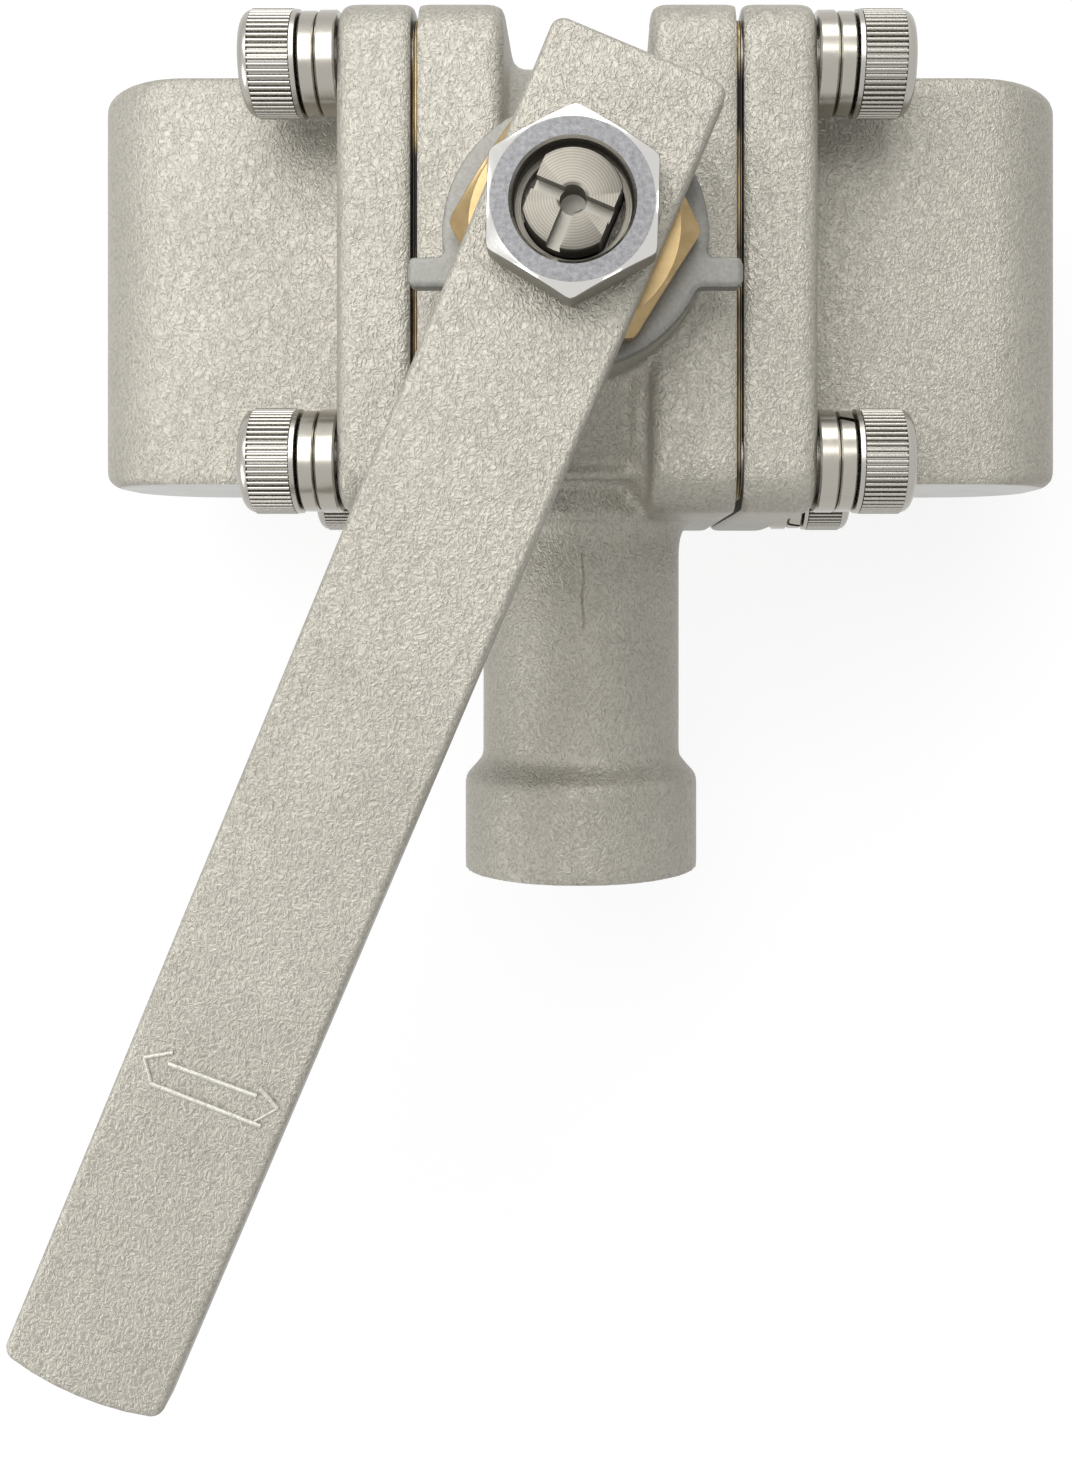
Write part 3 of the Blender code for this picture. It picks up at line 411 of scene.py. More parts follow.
def turned(name, profile, facets, material=None):
    """A closed solid of revolution about Z, from (radius, height) points once round its section."""
    shape = bmesh.new()
    points = [shape.verts.new((radius, 0, height)) for radius, height in profile]
    edges = []
    for i, point in enumerate(points):
        following = points[(i + 1) % len(points)]
        if point.co.x > 0 or following.co.x > 0:
            edges.append(shape.edges.new((point, following)))
    bmesh.ops.spin(shape, geom=points + edges, cent=(0, 0, 0), axis=(0, 0, 1), dvec=(0, 0, 0),
                   angle=2 * math.pi, steps=facets, use_merge=True)
    bmesh.ops.remove_doubles(shape, verts=shape.verts, dist=0.000001)
    bmesh.ops.recalc_face_normals(shape, faces=shape.faces)
    return make_object(name, shape, material)


def rod(name, radius, low, high, facets=64):
    return turned(name, [(0, low), (radius, low), (radius, high), (0, high)], facets)


def block(name, corner, opposite, material=None):
    shape = bmesh.new()
    bmesh.ops.create_cube(shape, size=1)
    corner, opposite = Vector(corner), Vector(opposite)
    bmesh.ops.scale(shape, vec=[abs(side) for side in opposite - corner], verts=shape.verts)
    bmesh.ops.translate(shape, vec=(corner + opposite) / 2, verts=shape.verts)
    return make_object(name, shape, material)


def turned_point(point, angle):
    cosine, sine = math.cos(angle), math.sin(angle)
    return Vector((point.x * cosine - point.y * sine, point.x * sine + point.y * cosine))


def rounded_outline(corners, radii, steps):
    """An anticlockwise outline with an arc at each corner that has a radius."""
    outline = []
    for i, here in enumerate(corners):
        radius = radii[i]
        if radius <= 0:
            outline.append(here)
            continue
        back = (corners[i - 1] - here).normalized()
        ahead = (corners[(i + 1) % len(corners)] - here).normalized()
        half = back.angle(ahead) / 2
        centre = here + (back + ahead).normalized() * radius / math.sin(half)
        start = here + back * radius / math.tan(half) - centre
        sweep = math.copysign(math.pi - 2 * half, ahead.cross(back))
        outline += [centre + turned_point(start, sweep * step / steps) for step in range(steps + 1)]
    return outline


def square(half):
    return [Vector((-half, -half)), Vector((half, -half)), Vector((half, half)), Vector((-half, half))]


def quarter_steps(radius, steps):
    """(inset, travel) pairs of a rounded edge, from the face to the side."""
    angles = [math.pi / 2 * step / steps for step in range(steps + 1)]
    return [(radius * (1 - math.sin(angle)), radius * (1 - math.cos(angle))) for angle in angles]


def edge_levels(low, high, low_round, high_round):
    """(inset, height) pairs from a low face to a high one, with both edges rounded."""
    levels = [(inset, low + travel) for inset, travel in quarter_steps(low_round, 6)]
    return levels + [(inset, high - travel) for inset, travel in reversed(quarter_steps(high_round, 6))]


def at_height(outline, height):
    return [Vector((point.x, point.y, height)) for point in outline]


def prism(name, outline, low, high):
    return lofted(name, [at_height(outline, height) for height in (low, high)])


def hexagon(across_flats, turn):
    start = Vector((across_flats / math.sqrt(3), 0))
    return [turned_point(start, math.radians(turn + 60 * i)) for i in range(6)]


def aim(thing, direction, place=(0, 0, 0)):
    """Turn a mesh from +Z to a direction and move it to a place."""
    turn = ALONG_Z.rotation_difference(direction).to_matrix().to_4x4()
    thing.data.transform(Matrix.Translation(place) @ turn)
    return thing


def settle(thing):
    """Turn what the modifiers give into the object's own plain mesh."""
    graph = bpy.context.evaluated_depsgraph_get()
    mesh = bpy.data.meshes.new_from_object(thing.evaluated_get(graph))
    thing.modifiers.clear()
    thing.data = mesh
    return thing


def combine(thing, tools, operation):
    """Join or cut a piece with tools, which are used up. Cut faces keep the tool's material."""
    for tool in tools:
        step = thing.modifiers.new(tool.name, "BOOLEAN")
        step.operation = operation
        step.solver = "MANIFOLD"
        step.material_mode = "TRANSFER"
        step.object = tool
    settle(thing)
    for tool in tools:
        bpy.data.objects.remove(tool, do_unlink=True)
    return thing


def cut(thing, *tools):
    return combine(thing, tools, "DIFFERENCE")


def machine(thing, tools, finish):
    """Cut a piece with one tool after the other, and give the cut faces a finish."""
    for tool in tools:
        tool.data.materials.append(finish)
        cut(thing, tool)
    return thing


def gather(name, things):
    """One object from several, without joining their surfaces."""
    shape = bmesh.new()
    slots = []
    for thing in things:
        part = thing.data.copy()
        for polygon in part.polygons:
            used = part.materials[polygon.material_index] if part.materials else None
            if used not in slots:
                slots.append(used)
            polygon.material_index = slots.index(used)
        shape.from_mesh(part)
        bpy.data.meshes.remove(part)
        bpy.data.objects.remove(thing, do_unlink=True)
    whole = make_object(name, shape)
    for used in slots:
        if used:
            whole.data.materials.append(used)
    return whole


def cast_skin(name, solids, voxel, passes, material):
    """Fuse overlapping solids into one casting with soft edges and fillets."""
    skin = gather(name, solids)
    remesh = skin.modifiers.new("fuse", "REMESH")
    remesh.mode = "VOXEL"
    remesh.voxel_size = voxel
    soften = skin.modifiers.new("soften", "SMOOTH")
    soften.factor = 0.5
    soften.iterations = passes
    settle(skin)
    skin.data.materials.clear()
    skin.data.materials.append(material)
    return skin


def shade(thing, angle=32):
    """Smooth shading, with sharp edges where faces meet at more than the angle."""
    thing.data.shade_smooth()
    thing.data.set_sharp_from_angle(angle=math.radians(angle))
    return thing


def bead(name, points, radius, facets=8):
    """A round bead along points, such as a rib or a raised line."""
    sections = []
    for i, here in enumerate(points):
        along = (points[min(i + 1, len(points) - 1)] - points[max(i - 1, 0)]).normalized()
        side = along.cross(ALONG_Z)
        side = side.normalized() if side.length > 0.001 else ALONG_X
        up = side.cross(along).normalized()
        angles = [2 * math.pi * k / facets for k in range(facets)]
        sections.append([here + side * radius * math.cos(a) + up * radius * math.sin(a) for a in angles])
    return lofted(name, sections)


def dress(thing, body, slot, *nodes):
    """Let a finished piece ride on a body and stand for its solids."""
    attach(thing, body)
    if nodes:
        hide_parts(*nodes)
    print(thing.name, "rides on", body, "with", len(thing.data.polygons), "faces")
    return thing


print("shape helpers ready")

# %% [markdown]
# ## The body
# The body is one casting: two square flanges, a barrel, a round boss under the bonnet, a foot and
# the inlet branch. Low ribs run where the mould's parts met. Its gasket faces, socket and bores are
# machined, so they are cut into the soft skin and stay crisp.

# %% Sizes of the run
FLANGE_SIDE = 0.104
FLANGE_CORNER = 0.009
FLANGE_INNER_X = 0.0147
FLANGE_THICK = 0.0172
PLATE_THICK = 0.0150
GASKET_SPACE = 0.0015
RUN_HEIGHT = FLANGE_SIDE / 2
BLOCK_TOP_Y = 0.0445
CHAMBER_RADIUS = 0.030
STEM_RADIUS = 0.009
BOLT_HOLE_RADIUS = 0.0073
BOLT_REACH = 0.041
BOLT_PLACES = [(y, z) for y in (-BOLT_REACH, BOLT_REACH) for z in (-BOLT_REACH, BOLT_REACH)]
SIDES = (("left", -1), ("right", 1))
# Heights of the stem's shoulder and of the narrow neck in the bonnet's bore above it
SHOULDER_LOW, SHOULDER_HIGH = 0.0783, 0.0823
NECK_LOW, NECK_HIGH = 0.0841, 0.0881
# Clearance between pieces, and how far cutters reach past what they cut
FREE_GAP = 0.0003
PAST = 0.06
body_face_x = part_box("body")[1].x
cap_face_x = body_face_x + GASKET_SPACE
cap_outer_x = cap_face_x + PLATE_THICK
block_end_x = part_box("end_cap_right")[1].x
branch_length = -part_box("body")[0].y
boss_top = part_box("stop_plate")[0].z - FREE_GAP
print("gasket faces at", round(body_face_x * 1000, 2), round(cap_face_x * 1000, 2), "mm")


def along_run(thing, side=1, start=0, y=0, z=0):
    """Aim a mesh along the run, to the left or the right, with its place off the run's middle."""
    return aim(thing, side * ALONG_X, (side * start, y, RUN_HEIGHT + z))


def flange_plate(name, side, start, thick, near_round, far_round):
    """A square plate with round corners and a rounded edge on each face."""
    sections = []
    for inset, height in edge_levels(0, thick, near_round, far_round):
        outline = rounded_outline(square(FLANGE_SIDE / 2 - inset), [FLANGE_CORNER - inset] * 4, 10)
        sections.append(at_height(outline, height))
    return along_run(lofted(name, sections), side, start)


# %% Threaded sockets
THREAD_PITCH = 0.0023
THREAD_START = 0.0022
MOUTH_CHAMFER = 0.0018


def socket_profile(passage, thread, depth, reach):
    """Section of a threaded socket's cutter, from beyond its mouth at z = 0 down to -reach."""
    mouth = thread + MOUTH_CHAMFER
    return [(0, MOUTH_CHAMFER), (mouth + MOUTH_CHAMFER, MOUTH_CHAMFER), (mouth, 0), (thread, -MOUTH_CHAMFER),
            (thread, -depth), (passage, -depth - (thread - passage) / 2), (passage, -reach), (0, -reach)]


# %% The body's casting
BARREL_RADIUS = 0.0512
BARREL_HALF = 0.023
BOSS_RADIUS = 0.0252
FOOT_RADIUS = 0.020
ROOT_RADIUS = 0.0255
BRANCH_RADIUS = 0.0228
SOCKET_RADIUS = 0.0269
SOCKET_LENGTH = 0.0210
INLET_RADIUS = 0.016
INLET_THREAD_RADIUS, INLET_THREAD_LENGTH = 0.0195, 0.0225
RIB_RADIUS = 0.0017
CAST_VOXEL = 0.0011
MILLING_STOCK = 0.0006


def branch_solid():
    root, shoulder, end = FLANGE_SIDE / 2, branch_length - SOCKET_LENGTH, branch_length + MILLING_STOCK
    profile = [(0, 0), (ROOT_RADIUS, 0), (ROOT_RADIUS, root - 0.0012)]
    for inset, travel in quarter_steps(1, 8):
        profile.append((ROOT_RADIUS - 0.0027 * (1 - inset), root + 0.007 * travel))
    profile += [(BRANCH_RADIUS, shoulder - 0.0045), (SOCKET_RADIUS, shoulder), (SOCKET_RADIUS, end), (0, end)]
    return aim(turned("branch", profile, 96), -ALONG_Y, (0, 0, RUN_HEIGHT))


def on_barrel(x, y, lift=0.0):
    """A point on top of the barrel."""
    return Vector((x, y, RUN_HEIGHT + math.sqrt((BARREL_RADIUS + lift) ** 2 - y * y)))


def body_solids():
    solids = []
    for side in (1, -1):
        thick = FLANGE_THICK + MILLING_STOCK
        solids.append(flange_plate("flange", side, FLANGE_INNER_X, thick, 0.0026, 0.0012))
        # Rib beside each flange, where the casting thickens
        path = [on_barrel(side * 0.0130, -0.001 * y, 0.0010) for y in range(22, 51, 2)]
        solids.append(bead("rib", path, RIB_RADIUS))
    # The last bead is a low ridge across the neck, above the branch's root
    return solids + [
        along_run(rod("barrel", BARREL_RADIUS, -BARREL_HALF, BARREL_HALF, 128)),
        rod("boss", BOSS_RADIUS, RUN_HEIGHT, boss_top + MILLING_STOCK, 96),
        rod("foot", FOOT_RADIUS, 0.0, RUN_HEIGHT / 2, 96), branch_solid(),
        bead("ridge", [on_barrel(0.001 * x, -0.0425, 0.0009) for x in range(-13, 14)], RIB_RADIUS)]


def body_cutters():
    tools = []
    for side in (1, -1):
        face = side * body_face_x
        tools.append(block("gasket face", (face, -PAST, -0.01), (face + side * 0.01, PAST, 2 * PAST)))
        tools += [along_run(rod("bolt hole", BOLT_HOLE_RADIUS, 0.0195, 0.05, 32), side, 0, y, z)
                  for y, z in BOLT_PLACES]
    tools.append(block("boss face", (-0.03, -0.03, boss_top), (0.03, 0.03, boss_top + 0.01)))
    tools.append(along_run(rod("chamber", CHAMBER_RADIUS, -0.04, 0.04, 96)))
    # The bonnet's bore has a narrow neck, and widens again above it
    shoulder, neck, packing, top = 0.0128, STEM_RADIUS + FREE_GAP, 0.014, 0.13
    tools.append(turned("bonnet bore", [
        (0, RUN_HEIGHT), (shoulder, RUN_HEIGHT), (shoulder, NECK_LOW), (neck, NECK_LOW), (neck, NECK_HIGH),
        (packing, NECK_HIGH), (packing, top), (0, top)], 64))
    tools.append(block("socket face", (-0.04, -branch_length, 0.01), (0.04, -branch_length - 0.02, 0.09)))
    socket = turned("inlet", socket_profile(INLET_RADIUS, INLET_THREAD_RADIUS + THREAD_PITCH / 4, 0.027,
                                            branch_length - 0.02), 96)
    return tools + [aim(socket, -ALONG_Y, (0, -branch_length, RUN_HEIGHT))]


body = cast_skin("body_casting", body_solids(), CAST_VOXEL, 3, cast_stainless)
print("skin faces:", len(body.data.polygons))
# A thin line is left on the branch where the mould's halves met
seam = bead("parting line", [Vector((0.0008 + 0.0003 * math.sin(700 * y), -y, RUN_HEIGHT + BRANCH_RADIUS))
                             for y in (0.0595, 0.0625, 0.0655, 0.0685, 0.0715, 0.0745, 0.0760)], 0.00032)
machine(body, [seam], cast_stainless)
machine(body, body_cutters(), machined_steel)
dress(shade(body), "valve_body", "cast_stainless", "body")

# %% [markdown]
# ## The end caps
# Each end cap is a flange plate with a tall block that turns the flow towards the top of the
# picture. The block's outer edges are round, and its corners fall away. Its two end faces are
# milled flat: the upper one holds the threaded port, the lower one is the strip seen in the photo.

# %% The end caps
BLOCK_DEPTH = 0.047
BLOCK_CORNER = 0.018
# How far each end's rounded edge eats into the block's length and height
LOWER_EDGE = (0.0058, 0.0036)
UPPER_EDGE = (0.0070, 0.0045)
PORT_X = cap_outer_x + 0.030
ELBOW_BEND = 0.020
PORT_RADIUS = 0.014
PORT_THREAD_RADIUS, PORT_THREAD_LENGTH = 0.0154, 0.0178
CAP_HOLE_RADIUS = 0.00775
SPOT_FACE_RADIUS = 0.0116
SPIGOT_X, SPIGOT_RADIUS = 0.0253, 0.0297


def elbow_block(side):
    half, near = BLOCK_TOP_Y + MILLING_STOCK, cap_face_x + 0.006
    steps = quarter_steps(1, 8)
    levels = [(-half + LOWER_EDGE[1] * travel, LOWER_EDGE[0] * inset, 0) for inset, travel in steps]
    levels += [(half - UPPER_EDGE[1] * travel, UPPER_EDGE[0] * inset, 0.0015 * inset)
               for inset, travel in reversed(steps)]
    sections = []
    for y, end_inset, face_inset in levels:
        depth, end = BLOCK_DEPTH / 2 - face_inset, block_end_x - end_inset
        corners = [Vector(point) for point in ((near, -depth), (end, -depth), (end, depth), (near, depth))]
        flat = rounded_outline(corners, [0, BLOCK_CORNER, BLOCK_CORNER, 0], 20)
        sections.append([Vector((side * point.x, y, RUN_HEIGHT + point.y)) for point in flat])
    return lofted("elbow block", sections)


def elbow_cutter(side):
    """The bent passage, and above it the threaded port, swept as one closed solid."""
    bend_x = PORT_X - ELBOW_BEND
    stations = [(0.015, 0, 0, PORT_RADIUS)]
    for step in range(13):
        angle = math.pi / 2 * step / 12
        stations.append((bend_x + ELBOW_BEND * math.sin(angle), ELBOW_BEND * (1 - math.cos(angle)),
                         angle, PORT_RADIUS))
    ports = socket_profile(PORT_RADIUS, PORT_THREAD_RADIUS + THREAD_PITCH / 4, 0.022, 0.023)[1:-2]
    stations += [(PORT_X, BLOCK_TOP_Y + height, math.pi / 2, radius) for radius, height in reversed(ports)]
    sections = []
    for x, y, angle, radius in stations:
        ring = [turned_point(Vector((radius, 0)), 2 * math.pi * k / 64) for k in range(64)]
        sine, cosine = math.sin(angle), math.cos(angle)
        sections.append([Vector((side * (x - p.x * sine), y + p.x * cosine, RUN_HEIGHT + p.y)) for p in ring])
    return lofted("elbow", sections)


def make_end_cap(name, side):
    thick = PLATE_THICK + MILLING_STOCK
    plate = flange_plate("plate", side, cap_face_x - MILLING_STOCK, thick, 0.0018, 0.0028)
    cap = cast_skin(name + "_casting", [plate, elbow_block(side)], CAST_VOXEL, 3, cast_stainless)
    face = side * cap_face_x
    tools = [block("gasket face", (face, -PAST, -0.01), (face - side * 0.01, PAST, 2 * PAST)),
             elbow_cutter(side)]
    tools += [block("end face", (side * 0.052, end * BLOCK_TOP_Y, 0.02), (side * 0.12, end * PAST, 0.09))
              for end in (1, -1)]
    for y, z in BOLT_PLACES:
        hole = rod("bolt hole", CAP_HOLE_RADIUS, cap_face_x - 0.005, cap_outer_x + 0.01, 32)
        seat = rod("spot face", SPOT_FACE_RADIUS, cap_outer_x - 0.00008, cap_outer_x + 0.01)
        tools += [along_run(tool, side, 0, y, z) for tool in (hole, seat)]
    machine(cap, tools, machined_steel)
    outline = [(PORT_RADIUS, SPIGOT_X), (SPIGOT_RADIUS, SPIGOT_X), (SPIGOT_RADIUS, cap_face_x),
               (PORT_RADIUS, cap_face_x)]
    cap = gather(cap.name, [cap, along_run(turned("spigot", outline, 96, machined_steel), side)])
    dress(shade(cap), "valve_body", "cast_stainless", name)


for side_name, side in SIDES:
    make_end_cap(f"end_cap_{side_name}", side)

# %% [markdown]
# ## Pipe threads
# The three ports have female pipe threads. A thread follows a rule: one ridge winds down the bore.
# Geometry Nodes sweep a small square, set on its corner, along a spiral. The tree has inputs for the
# radius, the length and the number of turns, so one tree serves both thread sizes. Every tree here
# ends in real geometry with its material.

# %% Pipe threads
SOCKET_KINDS = {float: "NodeSocketFloat", int: "NodeSocketInt"}


def new_tree(name, sizes):
    """A geometry tree with named inputs for a shape, its sizes and its material."""
    tree = bpy.data.node_groups.new(name, "GeometryNodeTree")
    tree.interface.new_socket("Geometry", in_out="INPUT", socket_type="NodeSocketGeometry")
    for title, value in sizes.items():
        socket = tree.interface.new_socket(title, in_out="INPUT", socket_type=SOCKET_KINDS[type(value)])
        socket.default_value = value
    tree.interface.new_socket("Finish", in_out="INPUT", socket_type="NodeSocketMaterial")
    tree.interface.new_socket("Geometry", in_out="OUTPUT", socket_type="NodeSocketGeometry")
    return tree, tree.nodes.new("NodeGroupInput").outputs


def close_tree(tree, given, geometry):
    """End a tree in real geometry with its material."""
    real = add_node(tree, "GeometryNodeRealizeInstances", {"Geometry": geometry})
    coat = add_node(tree, "GeometryNodeSetMaterial", {"Geometry": real.outputs["Geometry"],
                                                      "Material": given["Finish"]})
    add_node(tree, "NodeGroupOutput", {"Geometry": coat.outputs["Geometry"]})
    return tree


def sweep(tree, curve, resolution, radius):
    """Sweep a small polygon along a curve, with closed ends."""
    section = add_node(tree, "GeometryNodeCurvePrimitiveCircle", {"Resolution": resolution, "Radius": radius},
                       mode="RADIUS")
    return add_node(tree, "GeometryNodeCurveToMesh", {
        "Curve": curve, "Profile Curve": section.outputs["Curve"], "Fill Caps": True}).outputs["Mesh"]


def grow(thing, tree, values):
    """Run a geometry tree on an object with its inputs set, and keep the result as a plain mesh."""
    step = thing.modifiers.new(tree.name, "NODES")
    step.node_group = tree
    for item in tree.interface.items_tree:
        if item.item_type == "SOCKET" and item.in_out == "INPUT" and item.name in values:
            step[item.identifier] = values[item.name]
    return settle(thing)


def make_thread_tree():
    tree, given = new_tree("thread_ridge", {"Radius": 0.02, "Turns": 8.0, "Length": 0.02, "Ridge": 0.001})
    spiral = add_node(tree, "GeometryNodeCurveSpiral", {
        "Resolution": 48, "Rotations": given["Turns"], "Start Radius": given["Radius"],
        "End Radius": given["Radius"], "Height": given["Length"]})
    return close_tree(tree, given, sweep(tree, spiral.outputs["Curve"], 4, given["Ridge"]))


thread_tree = make_thread_tree()


def make_thread(name, radius, length, direction, mouth):
    """A thread whose first turn starts at the mouth's chamfer."""
    thread = grow(make_object(name, bmesh.new()), thread_tree, {
        "Radius": radius + THREAD_PITCH / 4, "Turns": float(round(length / THREAD_PITCH)), "Length": length,
        "Ridge": THREAD_PITCH / 2, "Finish": machined_steel})
    aim(thread, -direction, Vector(mouth) - direction * THREAD_START)
    dress(shade(thread), "valve_body", "machined_stainless")


make_thread("inlet_thread", INLET_THREAD_RADIUS, INLET_THREAD_LENGTH, -ALONG_Y,
            (0, -branch_length, RUN_HEIGHT))
for side_name, side in SIDES:
    make_thread(f"outlet_thread_{side_name}", PORT_THREAD_RADIUS, PORT_THREAD_LENGTH, ALONG_Y,
                (side * PORT_X, BLOCK_TOP_Y, RUN_HEIGHT))

# %% [markdown]
# ## Knurled cap screws and their washers
# Eight socket head cap screws hold the end caps. The head is knurled with 56 straight ridges,
# rounded off at the end, and the hexagon socket faces outwards. The ridges repeat round the head,
# so Geometry Nodes make one tapered ridge and place it on a circle of points.

# %% Knurled cap screws
RIDGE_COUNT = 56
RIDGE_RADIUS = 0.00038
HEAD_RADIUS = 0.0109
HEAD_HEIGHT = 0.012
HEAD_ROUND = 0.0022
SHANK_RADIUS = 0.007
FLAT_WASHER_THICK = 0.004
LOCK_WASHER_THICK = 0.0032
WASHER_X = cap_outer_x + FREE_GAP
LOCK_WASHER_X = WASHER_X + FLAT_WASHER_THICK + FREE_GAP
HEAD_X = LOCK_WASHER_X + LOCK_WASHER_THICK + FREE_GAP


def make_knurl_tree():
    tree, given = new_tree("knurled_head", {"Ridges": 48, "Radius": 0.01, "Low": 0.0, "High": 0.01,
                                            "Ridge": 0.0004})
    low, high = [add_node(tree, "ShaderNodeCombineXYZ", {"Z": given[end]}) for end in ("Low", "High")]
    line = add_node(tree, "GeometryNodeCurvePrimitiveLine", {"Start": low.outputs[0], "End": high.outputs[0]})
    stations = add_node(tree, "GeometryNodeResampleCurve", {"Curve": line.outputs["Curve"], "Count": 7})
    # A ridge thins out towards its ends, over 17 percent of its length
    share = add_node(tree, "GeometryNodeSplineParameter").outputs["Factor"]
    nearest = calculate(tree, "MINIMUM", share, calculate(tree, "SUBTRACT", 1.0, share))
    shaped = add_node(tree, "GeometryNodeSetCurveRadius", {
        "Curve": stations.outputs["Curve"], "Radius": remap(tree, nearest, 0.0, 0.17, 0.2, 1.0)})
    ridge = sweep(tree, shaped.outputs["Curve"], 6, given["Ridge"])
    circle = add_node(tree, "GeometryNodeMeshCircle", {"Vertices": given["Ridges"],
                                                       "Radius": given["Radius"]}).outputs["Mesh"]
    placed = add_node(tree, "GeometryNodeInstanceOnPoints", {"Points": circle, "Instance": ridge})
    whole = add_node(tree, "GeometryNodeJoinGeometry", {"Geometry": given["Geometry"]})
    tree.links.new(placed.outputs["Instances"], whole.inputs["Geometry"])
    return close_tree(tree, given, whole.outputs["Geometry"])


def make_screw_pattern():
    """A screw with its bearing face at z = 0 and its head above."""
    root = HEAD_RADIUS - 0.0008
    dome = 0.0098
    profile = [(0, -0.035), (0.0062, -0.035), (SHANK_RADIUS, -0.0342), (SHANK_RADIUS, 0), (root - 0.0004, 0),
               (HEAD_RADIUS - 0.0002, 0.0003), (HEAD_RADIUS - 0.0001, 0.0012), (root, 0.0015), (root, 0.0096),
               (HEAD_RADIUS - 0.0003, dome)]
    for step in range(1, 9):
        angle = math.pi / 2 * step / 8
        profile.append((HEAD_RADIUS - 0.0027 + 0.0024 * math.cos(angle), dome + HEAD_ROUND * math.sin(angle)))
    profile.append((0, HEAD_HEIGHT))
    screw = turned("screw", profile, 96)
    socket = [[Vector((p.x * grow_by, p.y * grow_by, z)) for p in hexagon(0.012, 0)]
              for z, grow_by in ((0.005, 1.0), (0.0112, 1.0), (0.0125, 1.12))]
    cut(screw, lofted("socket", socket))
    return grow(shade(screw, 30), make_knurl_tree(), {
        "Ridges": RIDGE_COUNT, "Radius": root + 0.0004, "Low": 0.0014, "High": 0.0097, "Ridge": RIDGE_RADIUS,
        "Finish": screw_steel})


def make_washer(name, hole, outer, thick, edge):
    """A washer whose outer edges are slightly rounded off."""
    return turned(name, [(hole, 0), (outer - edge, 0), (outer, edge), (outer, thick - edge),
                         (outer - edge, thick), (hole, thick)], 96, washer_steel)


def make_lock_washer_pattern():
    """A spring washer with one slanted split."""
    split = [[Vector((radius, y, z)) for y, z in ((-0.0022, -0.003), (-0.0010, -0.003), (0.0022, 0.0062),
                                                  (0.0010, 0.0062))] for radius in (0.004, 0.02)]
    return cut(make_washer("spring washer", BOLT_HOLE_RADIUS, 0.0104, LOCK_WASHER_THICK, 0.0003),
               lofted("split", split, washer_steel))


def place_copies(kind, pattern, distance, turns):
    """A plain copy of a pattern in each of the eight bolt places, each turned a little differently."""
    places = [(f"{side_name}_{row}_{layer}", side, y, z) for side_name, side in SIDES
              for row, y in (("upper", BOLT_REACH), ("lower", -BOLT_REACH))
              for layer, z in (("front", BOLT_REACH), ("back", -BOLT_REACH))]
    for (ending, side, y, z), degrees in zip(places, turns):
        node = f"{kind}_{ending}"
        copy = bpy.data.objects.new(node + "_dressed", pattern.data.copy())
        scene.collection.objects.link(copy)
        copy.data.transform(Matrix.Rotation(math.radians(degrees), 4, "Z"))
        dress(along_run(copy, side, distance, y, z), "valve_body", "bright_steel", node)
    bpy.data.objects.remove(pattern, do_unlink=True)


SCREW_TURNS = (7, 41, 22, 13, 50, 3, 31, 18)
WASHER_TURNS = (95, 210, 160, 20, 75, 300, 130, 250)
place_copies("cap_screw", make_screw_pattern(), HEAD_X, SCREW_TURNS)
place_copies("lock_washer", shade(make_lock_washer_pattern(), 25), LOCK_WASHER_X, WASHER_TURNS)
flat_washer = make_washer("flat washer", CAP_HOLE_RADIUS, 0.0106, FLAT_WASHER_THICK, 0.0004)
place_copies("flat_washer", shade(flat_washer, 25), WASHER_X, SCREW_TURNS)

# %% [markdown]
# ## Gaskets
# Each flange joint has a thin laminated gasket. Its edge shows as fine bronze lines in the dark
# gap: the bronze shows in patches of painted glint, and the dark is partly painted shade. The layers
# repeat across the joint, so Geometry Nodes stack one sheet.

# %% Gaskets
SHEET_THICK = 0.00022
SHEET_COUNT = 3


def make_stack_tree():
    tree, given = new_tree("gasket_stack", {"Sheets": 3, "Pitch": 0.0003})
    step = add_node(tree, "ShaderNodeCombineXYZ", {"X": given["Pitch"]})
    places = add_node(tree, "GeometryNodeMeshLine", {"Count": given["Sheets"], "Offset": step.outputs[0]},
                      mode="OFFSET")
    stack = add_node(tree, "GeometryNodeInstanceOnPoints", {"Points": places.outputs["Mesh"],
                                                            "Instance": given["Geometry"]})
    return close_tree(tree, given, stack.outputs["Instances"])


stack_tree = make_stack_tree()
for side_name, side in SIDES:
    node = f"body_gasket_{side_name}"
    low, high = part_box(node)
    outline = rounded_outline(square(FLANGE_SIDE / 2 - 0.0030), [0.0062] * 4, 10)
    sheet = along_run(prism(node + "_sheets", outline, 0, SHEET_THICK), 1, low.x)
    tools = [along_run(rod("middle", CHAMBER_RADIUS, -PAST, PAST, 96))]
    tools += [along_run(rod("bolt hole", BOLT_HOLE_RADIUS, -PAST, PAST, 32), 1, 0, y, z)
              for y, z in BOLT_PLACES]
    cut(sheet, *tools)
    pitch = (high.x - low.x - SHEET_THICK) / (SHEET_COUNT - 1)
    grow(sheet, stack_tree, {"Sheets": SHEET_COUNT, "Pitch": pitch, "Finish": gasket_foil})
    dress(shade(sheet), "valve_body", "laminated_gasket", node)

# %% [markdown]
# ## Stop plate and gland nut
# The stop plate is a smooth grey casting with two tabs that the lever's lug meets. The gland nut
# is brass, turned and milled: a hexagon whose top corners are cut back by a cone.

# %% Stop plate
REST_TURN = math.radians(-22.8)
STOP_RADIUS = 0.0254
TAB_REACH = 0.0318
TAB_TOP, TAB_BOTTOM = -0.0045, -0.0102


